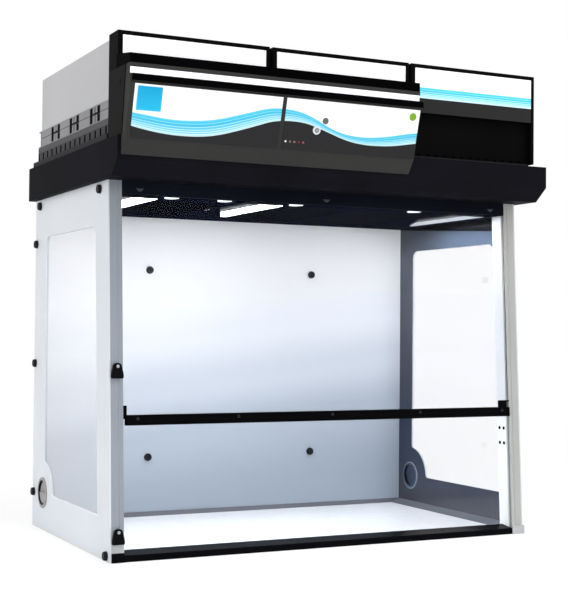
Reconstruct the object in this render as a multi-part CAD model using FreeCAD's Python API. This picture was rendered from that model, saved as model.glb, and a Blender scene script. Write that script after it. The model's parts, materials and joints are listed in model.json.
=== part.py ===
"""Ductless fume hood: a glazed enclosure with a sliding sash under three filter and fan columns.

Frame: X to the right seen from the front, Y to the back, Z up, in millimetres. The model is built
with Y = 0 at the front bottom edge of the side panels, and every piece is moved back or forward by
the same distance at the end, so that the origin is under the middle of the whole hood.
"""
import FreeCAD, Part
import math
import os

from FreeCAD import Vector

# Enclosure
ENCLOSURE_W = 1280.0
ENCLOSURE_D = 728.0
ENCLOSURE_H = 980.0
FRONT_LEAN = 53.0            # how far the front edge leans back between the floor and the top
CLEAR = 0.3                  # gap left round pieces that fit inside others

# Side panels: white skin, clear pane, dark border film
SKIN_T = 4.0
PANE_T = 3.0
FILM_T = 1.0
WINDOW_BOTTOM = 110.0
WINDOW_TOP_MARGIN = 114.5
WINDOW_FRONT_SETBACK = 102.0
WINDOW_REAR_MARGIN = 116.0
WINDOW_TOP_R = 25.0
WINDOW_LOW_R = 12.0
PORT_MARGIN_R = 94.0         # the window keeps this far from the port's centre

# Cable ports near the rear bottom corner of both sides
PORT_REAR_MARGIN = 110.0
PORT_Z = 109.0
PORT_BARREL_R = 40.0
PORT_BORE_R = 35.0
PORT_FLANGE_R = 45.0
PORT_FLANGE_T = 3.0
PORT_WEB_T = 2.0
PORT_PIN_R = 3.0
PORT_HUB_R = 7.0
SHUTTER_T = 2.0
SHUTTER_GAP = 0.4
RUN_FIT = 0.05               # radial running clearance on pins and shafts

# Front posts, their feet and the white jambs behind them
POST_W = 38.0
POST_D = 12.0
RIDGE_AT = 26.0
RIDGE_W = 3.0
RIDGE_H = 1.2
POST_STEP = 0.6
SASH_GROOVE_START = 4.0
SASH_GROOVE_W = 6.0
SASH_GROOVE_DEPTH = 14.0
LEFT_FOOT_H = 22.5
RIGHT_FOOT_H = 24.0
LEFT_FOOT_PROUD = 0.8
RIGHT_FOOT_PROUD = 3.6
RIGHT_FOOT_WRAP = 3.0
JAMB_D = 50.0
JAMB_WALL = 2.5
FIXED_PANE_T = 5.0
REBATE_DEPTH = 9.7
JAMB_HOLE_R = 5.0
JAMB_HOLE_SPACING_D = 20.5
JAMB_HOLE_SPACING_Z = 44.0
JAMB_HOLE_Z = 264.5

# Sill, tray, floor plate and back
SILL_D = 50.0
SILL_FRONT_H = 17.5
SILL_BACK_H = 23.5
SILL_END_H = 24.3
SILL_END_PROUD = 2.5
FLOOR_T = 2.0
TRAY_FLOOR_Z = 10.0
TRAY_RIM_Z = 25.0
TRAY_T = 2.0
TRAY_SIDE_SLOPE = 33.0
TRAY_BACK_SLOPE = 3.0
BACK_PANEL_GAP = 35.0        # from the back panel's face to the rear of the enclosure
BACK_PANEL_T = 2.0
REAR_PANEL_T = 2.0
REAR_POST_W = 24.0
BOSS_R = 8.0
BACK_KNOB_X = 285.0
BACK_KNOB_LOW_Z = 195.0
BACK_KNOB_HIGH_Z = 780.0

# Black thumb knobs, each with its stud
KNOB_R = 12.2
KNOB_FACE_R = 10.8
KNOB_H = 9.5
KNOB_EDGE_R = 1.5
KNOB_FLUTES = 8
KNOB_FLUTE_R = 2.6
STUD_R = 2.5
STUD_L = 12.0
STUD_HOLE_R = 2.7
FOOT_KNOB_Y = 28.0
FOOT_KNOB_Z = 15.0
TOP_KNOB_DROP = 19.5
TOP_KNOB_SETBACK = 61.0
TOP_KNOB_MARGIN = 52.0
REAR_KNOB_MARGIN = 18.0
REAR_KNOB_Z = (103.0, 489.0, 848.0)

# Ceiling and its lamps
CEILING_DROP = 36.0
CEILING_T = 3.0
CEILING_FLANGE_T = 2.0
INTAKE_W = 240.0
INTAKE_FRONT_Y = 180.0
INTAKE_REAR_MARGIN = 93.0
INTAKE_X = (-362.0, 20.0, 310.0)
MAT_T = 12.0
MAT_LAP = 12.0
LAMP_GAP = 10.0
LAMP_W = 110.0
LAMP_FRONT_Y = 80.0
LAMP_L = 430.0
LAMP_SLANT = 245.0
LAMP_H = 5.0
LAMP_CORNER_R = 8.0

# Header rail and the fixed upper pane
HEADER_H = 35.5
HEADER_D = 11.5
CLIP_INSET = 49.5
CLIP_TOP_DROP = 19.0
CLIP_TOP_W = 22.0
CLIP_LOW_W = 6.0
CLIP_H = 8.0
CLIP_T = 1.2
FIXED_PANE_BOTTOM = 375.0
FIXED_PANE_LAP = 18.0

# Sliding sash, drawn at its working height
SASH_BOTTOM = 346.0
SASH_TOP = 705.0
SASH_PANE_T = 5.0
SASH_SIDE_CLEAR = 4.0
BAR_H = 26.8
BAR_FRONT = -4.0             # offsets from the leaning front plane, positive to the back
BAR_BACK = 11.8
BAR_LEFT_GAP = 10.0
BAR_RIGHT_GAP = 0.5
BAR_FLOOR_T = 4.0
BAR_EDGE_R = 2.0
LEFT_SHOE_LOW = 17.0
LEFT_SHOE_HIGH = 51.0
RIGHT_SHOE_L = 36.0
RIGHT_SHOE_H = 20.2
RIGHT_SHOE_NOTCH = 8.5
RIGHT_SHOE_ARM = 4.2
SHOE_FRONT = 0.8
SHOE_BACK = 12.0
RIGHT_SHOE_FRONT = -2.0
BAR_SCREWS = 5
BAR_SCREW_INSET = 28.0
BAR_SCREW_UP = 17.6

# Dome-shaped turn catches on the left post
CATCH_Z = (77.1, 497.8)
CATCH_X_INSET = 20.5
CATCH_TOP_R = 9.0
CATCH_HALF_W = 16.5
CATCH_DROP = 31.0
CATCH_T = 9.0
CATCH_GAP = 0.4

# Small screws
SCREW_HEAD_R = 4.2
SCREW_HEAD_H = 2.2
SCREW_R = 2.0
SCREW_HOLE_R = 2.2
SCREW_L = 6.0

# Plinth that carries the columns
PLINTH_OVERHANG = 20.0
PLINTH_FRONT_Y = -78.3
PLINTH_REAR_REACH = 14.0
PLINTH_H = 99.0
PLINTH_CHAMFER_H = 38.0
PLINTH_CHAMFER_D = 48.0
PLINTH_WALL = 2.0
PLINTH_OPENING_INSET = 40.0

# Filter and fan columns
COLUMNS = 3
FRAME_GAP = 8.5
STACK_FRONT_Y = 36.0
FLANGE_GAP = 1.1
FLANGE_H = 17.0
FLANGE_LIP_INSET = 13.8      # insets are from the front frame's sides
FLANGE_LIP_FRONT_Y = -28.0
BASE_INSET = 6.8
BASE_REAR_MARGIN = 16.0      # margins are from the rear of the enclosure
BASE_H = 44.0
RIB_PITCH = 45.0
RIB_FIRST_Y = 73.0
RIB_SLOT_W = 13.0
RIB_SLOT_H = 22.0
RIB_SLOT_DEPTH = 4.0
RIB_RISE = 3.0
DUCT_SIDE = 21.0
DUCT_END = 58.0
CASE_INSET = 7.3
CASE_REAR_MARGIN = 20.0
CASE_H = 48.5
CASE_WALL = 12.0
CASE_SPLIT = 26.0
CASE_SPLIT_W = 1.6
CASE_SPLIT_DEPTH = 1.5
CLAMP_Y = (169.0, 354.0, 535.0)
CLAMP_SLOTS = ((-31.5, 25.0), (-5.5, 5.0), (5.5, 5.0), (31.5, 25.0))
CLAMP_SLOT_DEPTH = 5.0
CLAMP_SLOT_MARGIN = 3.0
CLAMP_BRIDGE_W = 40.0
CLAMP_BRIDGE_H = 6.0
CORNER_SLOT_W = 24.0
FAN_BOX_INSET = 8.8
FAN_BOX_REAR_MARGIN = 44.0
FAN_BOX_H = 154.5
FAN_BOX_WALL = 1.5
INLET_R = 80.0
INLET_WALL = 3.0
INLET_RISE = 22.0
GRILLE_T = 2.0
GRILLE_SLOTS = 16
GRILLE_SLOT_W = 9.0
GRILLE_SLOT_L = 150.0
GRILLE_SLOT_PITCH = 34.0

# Motor and impeller
SHAFT_R = 6.0
MOTOR_R = 55.0
BRACKET_W = 36.0
BRACKET_T = 4.0
IMPELLER_R = 125.0
IMPELLER_H = 58.0
IMPELLER_EYE_R = 88.0
IMPELLER_PLATE_T = 3.0
IMPELLER_HUB_R = 20.0
IMPELLER_RUN_GAP = 3.0
BLADES = 7
BLADE_T = 2.5
BLADE_IN_R = 62.0
BLADE_SWEEP = 42.0

# Black front frames with their panels
FRAME_OVERHANG = 6.9         # how far the outer frames reach past the enclosure
FRAME_FRONT_Y = -35.2
FRAME_BOTTOM_RISE = 12.0
FRAME_TOP_ABOVE_BOX = 8.0
FRAME_SKIN = 3.0
FRAME_LEFT_BORDER = 13.0
FRAME_RIGHT_BORDER = 11.0
FRAME_TOP_BORDER = 11.0
PANEL_H = 123.0
PANEL_T = 3.0
RECESS_BACK_Y = -14.0
RECESS_SLOTS = 13
RECESS_SLOT_W = 10.0
RECESS_SLOT_H = 9.0
RECESS_SLOT_PITCH = 29.0

# Control fascia hung on the two left columns; heights named UP are above the plinth
FASCIA_SIDE_PACK = 4.1
FASCIA_W = 836.5
FASCIA_TOP_UP = 170.5
FASCIA_WALL = 3.0
SLOPE_TOP_Y = -144.8
SLOPE_TOP_UP = 121.6
SLOPE_END_Y = -106.8
SLOPE_END_UP = -13.3
FASCIA_TIP_Y = -80.6
FASCIA_TIP_UP = -49.8
LIP_FRONT_Y = -139.6
LIGHT_TOP_UP = 160.5
LIGHT_BOTTOM_UP = 143.6
LIGHT_BACK_Y = -133.5
LIGHT_FRONT_Y = -138.4
LIGHT_END_INSET = 2.0
RAIL_FRONT_Y = -147.4
RAIL_BOTTOM_UP = 123.0
RAIL_SEAT = 0.6
RAIL_CHAMFER = 4.0
RAIL_LEFT_INSET = 6.0
RAIL_RIGHT_REACH = 6.5
VISOR_BACK_UP = 209.5
VISOR_FRONT_UP = 194.4
VISOR_FRONT_Y = -138.8
END_PLATE_T = 2.0
END_PLATE_REAR_Y = 14.0
END_PLATE_TOP_Y = -111.5
END_PLATE_LOW_Y = -85.5
SIGHT_Y = -76.0
SIGHT_UP = 132.0
SIGHT_R = 6.0
DISPLAY_T = 1.5
DISPLAY_TOP_S = 3.0          # S is a distance down the sloping fascia from its upper edge
DISPLAY_BOTTOM_S = 138.0
DISPLAY_LEFT_IN = 12.1       # IN is a distance from the fascia's left end
DISPLAY_SPLIT_IN = 417.7
DISPLAY_SPLIT_W = 11.5
DISPLAY_RIGHT_MARGIN = 2.4
BADGE_IN = 20.0
BADGE_W = 65.0
BADGE_TOP_S = 8.0
BADGE_H = 60.0
BADGE_T = 1.5
BUTTON_IN = 525.3
BUTTON_S = 80.8
BUTTON_R = 7.5
BUTTON_GAP = 0.4
BUTTON_RING_R = 11.2
BUTTON_PROUD = 3.2
BUTTON_TRAVEL = 2.0
BUTTON_STEM = 11.0
BUTTON_EDGE_R = 1.0
RING_PROUD = 1.6
SENSOR_IN = 548.2
SENSOR_S = 54.6
SENSOR_R = 8.6
STATUS_IN = 812.9
STATUS_S = 22.5
STATUS_R = 10.5
SIGNALS = 5
SIGNAL_FIRST_IN = 438.7
SIGNAL_PITCH = 13.0
SIGNAL_S = 116.0
SIGNAL_R = 2.6
LENS_PROUD = 1.0
BOARD_W = 340.0
BOARD_L = 96.0
BOARD_T = 1.6
BOARD_LEFT_OF_BUTTON = 100.0
BOARD_STANDOFF_R = 4.0
SWITCH_SIZE = 12.0
SWITCH_GAP = 0.5

# Mains inlet in the plinth's rear wall
INLET_SIDE_INSET = 80.0
INLET_FLANGE_W = 50.0
INLET_FLANGE_H = 28.0
INLET_FLANGE_T = 2.0
SOCKET_W = 25.0
SOCKET_H = 17.0
SOCKET_D = 16.0
SOCKET_WALL = 2.0
SOCKET_PIN_R = 1.6
SOCKET_PIN_L = 12.0
SOCKET_PIN_SPACING = 7.0

# Worked out from the sizes above
HALF_W = ENCLOSURE_W / 2
SKIN_IN = HALF_W - SKIN_T
PANE_IN = SKIN_IN - PANE_T
FILM_IN = PANE_IN - FILM_T
INNER_X = FILM_IN - CLEAR
POST_IN = HALF_W - POST_W
WINDOW_TOP = ENCLOSURE_H - WINDOW_TOP_MARGIN
WINDOW_REAR_Y = ENCLOSURE_D - WINDOW_REAR_MARGIN
PORT_Y = ENCLOSURE_D - PORT_REAR_MARGIN
BACK_PANEL_Y = ENCLOSURE_D - BACK_PANEL_GAP
CEILING_Z = ENCLOSURE_H - CEILING_DROP
INTAKE_REAR_Y = BACK_PANEL_Y - INTAKE_REAR_MARGIN
LAMP_REACH = INTAKE_W / 2 + LAMP_GAP + LAMP_W / 2
LAMP_X = (INTAKE_X[0] - LAMP_REACH, INTAKE_X[0] + LAMP_REACH, INTAKE_X[2] + LAMP_REACH)
FIXED_PANE_START = POST_D + CLEAR
FIXED_PANE_END = FIXED_PANE_START + FIXED_PANE_T
REBATE_END = FIXED_PANE_END + CLEAR
JAMB_END = POST_D + JAMB_D
BAR_LEFT_X = BAR_LEFT_GAP - POST_IN
BAR_RIGHT_X = POST_IN - BAR_RIGHT_GAP
PLINTH_TOP = ENCLOSURE_H + PLINTH_H
PLINTH_REAR_Y = ENCLOSURE_D + PLINTH_REAR_REACH
INLET_X = INLET_SIDE_INSET - HALF_W
FRAME_W = (ENCLOSURE_W + FRAME_OVERHANG * 2 - FRAME_GAP * (COLUMNS - 1)) / COLUMNS
COLUMN_PITCH = FRAME_W + FRAME_GAP
FLANGE_W = COLUMN_PITCH - FLANGE_GAP
FLANGE_LIP_W = FRAME_W - FLANGE_LIP_INSET * 2
BASE_W = FRAME_W - BASE_INSET * 2
BASE_REAR_Y = ENCLOSURE_D - BASE_REAR_MARGIN
RIB_SLOTS = int((BASE_REAR_Y - RIB_FIRST_Y) / RIB_PITCH) + 1
DUCT_W = BASE_W - DUCT_SIDE * 2
DUCT_FRONT_Y = STACK_FRONT_Y + DUCT_END
DUCT_REAR_Y = BASE_REAR_Y - DUCT_END
CASE_W = FRAME_W - CASE_INSET * 2
CASE_REAR_Y = ENCLOSURE_D - CASE_REAR_MARGIN
FAN_BOX_W = FRAME_W - FAN_BOX_INSET * 2
FAN_BOX_REAR_Y = ENCLOSURE_D - FAN_BOX_REAR_MARGIN
BASE_Z = PLINTH_TOP + FLANGE_H
CASE_Z = BASE_Z + BASE_H
FAN_BOX_Z = CASE_Z + CASE_H
FAN_BOX_TOP = FAN_BOX_Z + FAN_BOX_H
FRAME_BOTTOM = PLINTH_TOP + FRAME_BOTTOM_RISE
FRAME_TOP = FAN_BOX_TOP + FRAME_TOP_ABOVE_BOX
PANEL_TOP = FRAME_TOP - FRAME_TOP_BORDER
PANEL_BOTTOM = PANEL_TOP - PANEL_H
COLUMN_MID_Y = (STACK_FRONT_Y + FAN_BOX_REAR_Y) / 2
FASCIA_LEFT_X = -(COLUMN_PITCH * (COLUMNS - 1) + FRAME_W) / 2 - FASCIA_SIDE_PACK
FASCIA_RIGHT_X = FASCIA_LEFT_X + FASCIA_W
FASCIA_TOP_Z = PLINTH_TOP + FASCIA_TOP_UP
FASCIA_SLOPE_TOP = (SLOPE_TOP_Y, PLINTH_TOP + SLOPE_TOP_UP)
FASCIA_SLOPE_END = (SLOPE_END_Y, PLINTH_TOP + SLOPE_END_UP)
FASCIA_TIP = (FASCIA_TIP_Y, PLINTH_TOP + FASCIA_TIP_UP)
LIGHT_TOP_Z = PLINTH_TOP + LIGHT_TOP_UP
LIGHT_BOTTOM_Z = PLINTH_TOP + LIGHT_BOTTOM_UP
RAIL_BOTTOM_Z = PLINTH_TOP + RAIL_BOTTOM_UP
VISOR_BACK_Z = PLINTH_TOP + VISOR_BACK_UP
VISOR_FRONT_Z = PLINTH_TOP + VISOR_FRONT_UP
DISPLAY_LEFT_X = FASCIA_LEFT_X + DISPLAY_LEFT_IN
DISPLAY_SPLIT_L = FASCIA_LEFT_X + DISPLAY_SPLIT_IN
DISPLAY_SPLIT_R = DISPLAY_SPLIT_L + DISPLAY_SPLIT_W
DISPLAY_RIGHT_X = FASCIA_RIGHT_X - DISPLAY_RIGHT_MARGIN
BADGE_X = FASCIA_LEFT_X + BADGE_IN
BUTTON_X = FASCIA_LEFT_X + BUTTON_IN
SENSOR_X = FASCIA_LEFT_X + SENSOR_IN
STATUS_X = FASCIA_LEFT_X + STATUS_IN
FRONT_REACH = RAIL_FRONT_Y
REAR_REACH = PLINTH_REAR_Y + INLET_FLANGE_T
TO_ORIGIN = Vector(0, -(FRONT_REACH + REAR_REACH) / 2, 0)

UP_THE_FRONT = Vector(0, FRONT_LEAN, ENCLOSURE_H).normalize()
OUT_OF_FRONT = Vector(0, -ENCLOSURE_H, FRONT_LEAN).normalize()


def lean(z):
    """How far back the front plane lies at height z."""
    return FRONT_LEAN * z / ENCLOSURE_H


def box(x0, x1, y0, y1, z0, z1):
    """A box between two corners."""
    return Part.makeBox(x1 - x0, y1 - y0, z1 - z0, Vector(x0, y0, z0))


def rod(start, axis, radius, length):
    """A cylinder from a point along an axis."""
    return Part.makeCylinder(radius, length, start, axis)


def slab_x(points, x0, x1):
    """A (y, z) outline extruded along X."""
    loop = [Vector(x0, y, z) for y, z in points]
    return Part.Face(Part.makePolygon(loop + loop[:1])).extrude(Vector(x1 - x0, 0, 0))


def leaning(points, z0, z1):
    """An (x, offset) outline carried up the leaning front from z0 to z1, with level ends."""
    loop = [Vector(x, offset + lean(z0), z0) for x, offset in points]
    face = Part.Face(Part.makePolygon(loop + loop[:1]))
    return face.extrude(Vector(0, lean(z1) - lean(z0), z1 - z0))


def leaning_box(x0, x1, front, back, z0, z1):
    """A block that follows the leaning front."""
    return leaning([(x0, front), (x1, front), (x1, back), (x0, back)], z0, z1)


def on_front(x, offset, z):
    """A point at an offset behind the leaning front plane."""
    return Vector(x, offset + lean(z), z)


def other_side(shape):
    """The same piece on the right-hand side."""
    return shape.mirror(Vector(0, 0, 0), Vector(1, 0, 0))


def cut_all(shape, tools):
    """The shape with every tool cut away."""
    return shape.cut(tools) if tools else shape


def along_x(edge):
    """True for a straight edge that runs along X."""
    first, last = edge.Vertexes[0].Point, edge.Vertexes[-1].Point
    return abs(first.x - last.x) > 1.0 and abs(first.y - last.y) + abs(first.z - last.z) < 1e-6


def save(node, shapes):
    """Write one node's solids, moved to the hood's own origin."""
    solids = [solid for shape in shapes for solid in shape.Solids]
    placed = Part.makeCompound(solids) if len(solids) > 1 else solids[0]
    placed = placed.copy()
    placed.translate(TO_ORIGIN)
    placed.exportStep(f"parts/{node}.step")


def side_outline(front_offset, y_end, z0, z1):
    """The (y, z) outline of a side panel layer, with its leaning front edge."""
    return [(front_offset + lean(z0), z0), (y_end, z0), (y_end, z1), (front_offset + lean(z1), z1)]


def window_cutter():
    """The side window: leaning front edge, round top corners and a bay that goes round the port."""
    bay_top = PORT_Z + math.sqrt(PORT_MARGIN_R ** 2 - (PORT_Y - WINDOW_REAR_Y) ** 2)
    bay_low = PORT_Y - math.sqrt(PORT_MARGIN_R ** 2 - (WINDOW_BOTTOM - PORT_Z) ** 2)
    middle = (PORT_Y - PORT_MARGIN_R * math.sin(math.radians(47)),
              PORT_Z + PORT_MARGIN_R * math.cos(math.radians(47)))
    low_front = (lean(WINDOW_BOTTOM) + WINDOW_FRONT_SETBACK, WINDOW_BOTTOM)
    high_front = (lean(WINDOW_TOP) + WINDOW_FRONT_SETBACK, WINDOW_TOP)
    spots = [low_front, high_front, (WINDOW_REAR_Y, WINDOW_TOP), (WINDOW_REAR_Y, bay_top)]
    points = [Vector(-HALF_W - 1, y, z) for y, z in spots]
    bay_end = Vector(-HALF_W - 1, bay_low, WINDOW_BOTTOM)
    edges = [Part.makeLine(a, b) for a, b in zip(points, points[1:])]
    edges.append(Part.Arc(points[-1], Vector(-HALF_W - 1, *middle), bay_end).toShape())
    edges.append(Part.makeLine(bay_end, points[0]))
    solid = Part.Face(Part.Wire(edges)).extrude(Vector(HALF_W - INNER_X + 2, 0, 0))
    cross = [edge for edge in solid.Edges if along_x(edge)]
    top = [edge for edge in cross if edge.Vertexes[0].Point.z > WINDOW_TOP - 1]
    solid = solid.makeFillet(WINDOW_TOP_R, top)
    cross = [edge for edge in solid.Edges if along_x(edge)]
    low = [edge for edge in cross if edge.Vertexes[0].Point.z < bay_top + 1
           and edge.Vertexes[0].Point.y > (low_front[0] + bay_low) / 2]
    return solid.makeFillet(WINDOW_LOW_R, low)


def port_hole():
    """The round hole for a port through all the layers of a side."""
    start = Vector(-HALF_W - 1, PORT_Y, PORT_Z)
    return rod(start, Vector(1, 0, 0), PORT_BARREL_R + CLEAR, HALF_W - INNER_X + 2)


def side_knob_spots():
    """The (y, z) places of the knobs on a side panel."""
    high = ENCLOSURE_H - TOP_KNOB_DROP
    spots = [(FOOT_KNOB_Y, FOOT_KNOB_Z), (lean(high) + TOP_KNOB_SETBACK, high)]
    spots.append((ENCLOSURE_D - TOP_KNOB_MARGIN, high))
    return spots + [(ENCLOSURE_D - REAR_KNOB_MARGIN, z) for z in REAR_KNOB_Z]


def side_stud_holes():
    """Holes for the left side knobs' studs."""
    return [rod(Vector(-HALF_W - 1, y, z), Vector(1, 0, 0), STUD_HOLE_R, STUD_L + 2)
            for y, z in side_knob_spots()]


def side_layers():
    """The left side's white skin, clear pane and dark film."""
    window = window_cutter()
    holes = [port_hole()] + side_stud_holes()
    back = POST_D + CLEAR
    skin = slab_x(side_outline(0, ENCLOSURE_D, 0, ENCLOSURE_H), -HALF_W, -SKIN_IN)
    pane_end = ENCLOSURE_D - REAR_PANEL_T
    pane = slab_x(side_outline(back, pane_end, 0, ENCLOSURE_H), -SKIN_IN, -PANE_IN)
    film = slab_x(side_outline(back, pane_end, 0, ENCLOSURE_H), -PANE_IN, -FILM_IN)
    return cut_all(skin, [window] + holes), cut_all(pane, holes), cut_all(film, [window] + holes)


def port_ring():
    """A left port's ring with its flanges, fixed half web and pivot pin."""
    axis = Vector(1, 0, 0)
    out_x = -HALF_W - PORT_FLANGE_T
    in_x = -FILM_IN
    depth = in_x + PORT_FLANGE_T - out_x
    ring = rod(Vector(out_x, PORT_Y, PORT_Z), axis, PORT_BARREL_R, depth)
    ring = ring.fuse(rod(Vector(out_x, PORT_Y, PORT_Z), axis, PORT_FLANGE_R, PORT_FLANGE_T))
    ring = ring.fuse(rod(Vector(in_x, PORT_Y, PORT_Z), axis, PORT_FLANGE_R, PORT_FLANGE_T))
    ring = ring.cut(rod(Vector(out_x - 1, PORT_Y, PORT_Z), axis, PORT_BORE_R, depth + 2))
    web = rod(Vector(-HALF_W, PORT_Y, PORT_Z), axis, PORT_BORE_R + 1, PORT_WEB_T)
    upper = box(-HALF_W - 1, -HALF_W + 9, PORT_Y - PORT_FLANGE_R, PORT_Y + PORT_FLANGE_R,
                PORT_Z, PORT_Z + PORT_FLANGE_R)
    hub = rod(Vector(-HALF_W, PORT_Y, PORT_Z), axis, PORT_HUB_R, PORT_WEB_T)
    pin_l = PORT_WEB_T + SHUTTER_GAP + SHUTTER_T + 1
    pin = rod(Vector(-HALF_W, PORT_Y, PORT_Z), axis, PORT_PIN_R, pin_l)
    lug_turn = math.radians(37)
    lug_y = PORT_Y - PORT_BARREL_R * math.cos(lug_turn)
    lug_z = PORT_Z + PORT_BARREL_R * math.sin(lug_turn)
    lug = rod(Vector(in_x + PORT_FLANGE_T - 1, lug_y, lug_z), axis, PORT_PIN_R, 3)
    return ring.fuse([web.cut(upper), hub, pin, lug]).removeSplitter()


def port_shutter():
    """A left port's half disc, closed over the open half and turning on the pin."""
    axis = Vector(1, 0, 0)
    x0 = -HALF_W + PORT_WEB_T + SHUTTER_GAP
    disc = rod(Vector(x0, PORT_Y, PORT_Z), axis, PORT_BORE_R - SHUTTER_GAP, SHUTTER_T)
    lower = box(x0 - 1, x0 + SHUTTER_T + 1, PORT_Y - PORT_BORE_R, PORT_Y + PORT_BORE_R,
                PORT_Z - PORT_BORE_R, PORT_Z)
    hub = rod(Vector(x0, PORT_Y, PORT_Z), axis, PORT_HUB_R, SHUTTER_T)
    bore = rod(Vector(x0 - 1, PORT_Y, PORT_Z), axis, PORT_PIN_R + RUN_FIT, SHUTTER_T + 2)
    tab = box(x0 + SHUTTER_T, x0 + SHUTTER_T + 3, PORT_Y - 10, PORT_Y + 10,
              PORT_Z + PORT_BORE_R - 12, PORT_Z + PORT_BORE_R - 9)
    return disc.cut(lower).fuse(hub).cut(bore).fuse(tab).removeSplitter()


def front_post(z0):
    """The left post: a flat face with a ridge, and the sash groove facing inwards."""
    outer = -SKIN_IN
    inner = -POST_IN
    ridge = -HALF_W + RIDGE_AT
    groove_end = SASH_GROOVE_START + SASH_GROOVE_W
    groove_in = inner - SASH_GROOVE_DEPTH
    points = [(outer, 0), (ridge - RIDGE_W / 2, 0), (ridge - RIDGE_W / 4, -RIDGE_H),
              (ridge + RIDGE_W / 4, -RIDGE_H), (ridge + RIDGE_W / 2, POST_STEP), (inner, POST_STEP),
              (inner, SASH_GROOVE_START), (groove_in, SASH_GROOVE_START), (groove_in, groove_end),
              (inner, groove_end), (inner, POST_D), (outer, POST_D)]
    return leaning(points, z0, ENCLOSURE_H)


def post_foot(z0, height, proud, wrap):
    """A left foot block under a post; wrap carries its face round the skin's front edge."""
    outer = -SKIN_IN
    inner = -POST_IN
    groove_end = SASH_GROOVE_START + SASH_GROOVE_W
    groove_in = inner - SASH_GROOVE_DEPTH
    points = [(inner, -proud), (inner, SASH_GROOVE_START), (groove_in, SASH_GROOVE_START),
              (groove_in, groove_end), (inner, groove_end), (inner, POST_D), (outer, POST_D)]
    if wrap > 0:
        points += [(outer, -CLEAR), (-HALF_W - wrap, -CLEAR), (-HALF_W - wrap, -proud)]
    else:
        points.append((outer, -proud))
    return leaning(points, z0, z0 + height)


def jamb():
    """The left white jamb: a hollow post with a rebate for the fixed pane and four small holes."""
    outer = -FILM_IN + CLEAR
    inner = -POST_IN
    rebate_x = inner - REBATE_DEPTH
    points = [(outer, POST_D + CLEAR), (rebate_x, POST_D + CLEAR), (rebate_x, REBATE_END),
              (inner, REBATE_END), (inner, JAMB_END), (outer, JAMB_END)]
    solid = leaning(points, FLOOR_T, CEILING_Z)
    hollow = leaning_box(outer + JAMB_WALL, inner - JAMB_WALL, REBATE_END + JAMB_WALL,
                         JAMB_END - JAMB_WALL, FLOOR_T - 1, CEILING_Z + 1)
    middle = (REBATE_END + JAMB_END) / 2
    holes = []
    for row in range(2):
        for side in (-1, 1):
            z = JAMB_HOLE_Z + row * JAMB_HOLE_SPACING_Z
            start = on_front(inner - JAMB_WALL - 1, middle + side * JAMB_HOLE_SPACING_D / 2, z)
            holes.append(rod(start, Vector(1, 0, 0), JAMB_HOLE_R, JAMB_WALL + 2))
    return cut_all(solid, [hollow] + holes + side_stud_holes())


def sill():
    """The black front sill: a sloping air foil with a square block under the left post."""
    foil = slab_x([(0, 0), (SILL_D, 0), (SILL_D, SILL_BACK_H), (0, SILL_FRONT_H)], -POST_IN, POST_IN)
    head = box(-SKIN_IN, -POST_IN, -SILL_END_PROUD, POST_D, 0, SILL_END_H)
    corner = [edge for edge in head.Edges if edge.BoundBox.ZMin > SILL_END_H - 1
              and edge.BoundBox.XMax < 1 - SKIN_IN]
    return foil.fuse(head.makeFillet(SILL_END_PROUD / 2, corner)).removeSplitter()


def floor_plate():
    """The steel plate under the tray."""
    plate = box(-INNER_X, INNER_X, SILL_D + CLEAR, ENCLOSURE_D - REAR_PANEL_T - CLEAR, 0, FLOOR_T)
    front = box(-INNER_X, -POST_IN, POST_D + CLEAR * 2, SILL_D + CLEAR, 0, FLOOR_T)
    return plate.fuse([front, other_side(front)]).removeSplitter()


def tray():
    """The white spill tray: flat floor, sloping side walls and a steep back wall."""
    rear = BACK_PANEL_Y - CLEAR
    front = SILL_D + CLEAR
    outer = box(-INNER_X, INNER_X, front, rear, FLOOR_T, TRAY_RIM_Z)
    low = [(-INNER_X + TRAY_SIDE_SLOPE, front + TRAY_T), (INNER_X - TRAY_SIDE_SLOPE, front + TRAY_T),
           (INNER_X - TRAY_SIDE_SLOPE, rear - TRAY_BACK_SLOPE),
           (-INNER_X + TRAY_SIDE_SLOPE, rear - TRAY_BACK_SLOPE)]
    high = [(-INNER_X + TRAY_T, front + TRAY_T), (INNER_X - TRAY_T, front + TRAY_T),
            (INNER_X - TRAY_T, rear - TRAY_T), (-INNER_X + TRAY_T, rear - TRAY_T)]
    wires = []
    for spots, z in ((low, TRAY_FLOOR_Z), (high, TRAY_RIM_Z)):
        loop = [Vector(x, y, z) for x, y in spots]
        wires.append(Part.makePolygon(loop + loop[:1]))
    basin = Part.makeLoft(wires, True, True)
    reach = POST_IN - CLEAR
    front_cut = box(-reach, reach, front - 1, front + TRAY_T + 1, SILL_BACK_H, TRAY_RIM_Z + 1)
    corner = box(-INNER_X - 1, -POST_IN + CLEAR, front - 1, JAMB_END + lean(TRAY_RIM_Z) + CLEAR,
                 0, TRAY_RIM_Z + 1)
    return cut_all(outer, [basin, front_cut, corner, other_side(corner)])


def back_knob_spots():
    """The four (x, z) places of the knobs on the back panel."""
    return [(x, z) for x in (-BACK_KNOB_X, BACK_KNOB_X) for z in (BACK_KNOB_LOW_Z, BACK_KNOB_HIGH_Z)]


def back_panel():
    """The white inner back panel."""
    plate = box(-INNER_X, INNER_X, BACK_PANEL_Y, BACK_PANEL_Y + BACK_PANEL_T, TRAY_RIM_Z, CEILING_Z)
    tools = [rod(Vector(x, BACK_PANEL_Y - 1, z), Vector(0, 1, 0), STUD_HOLE_R, BACK_PANEL_T + 2)
             for x, z in back_knob_spots()]
    return cut_all(plate, tools)


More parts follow.
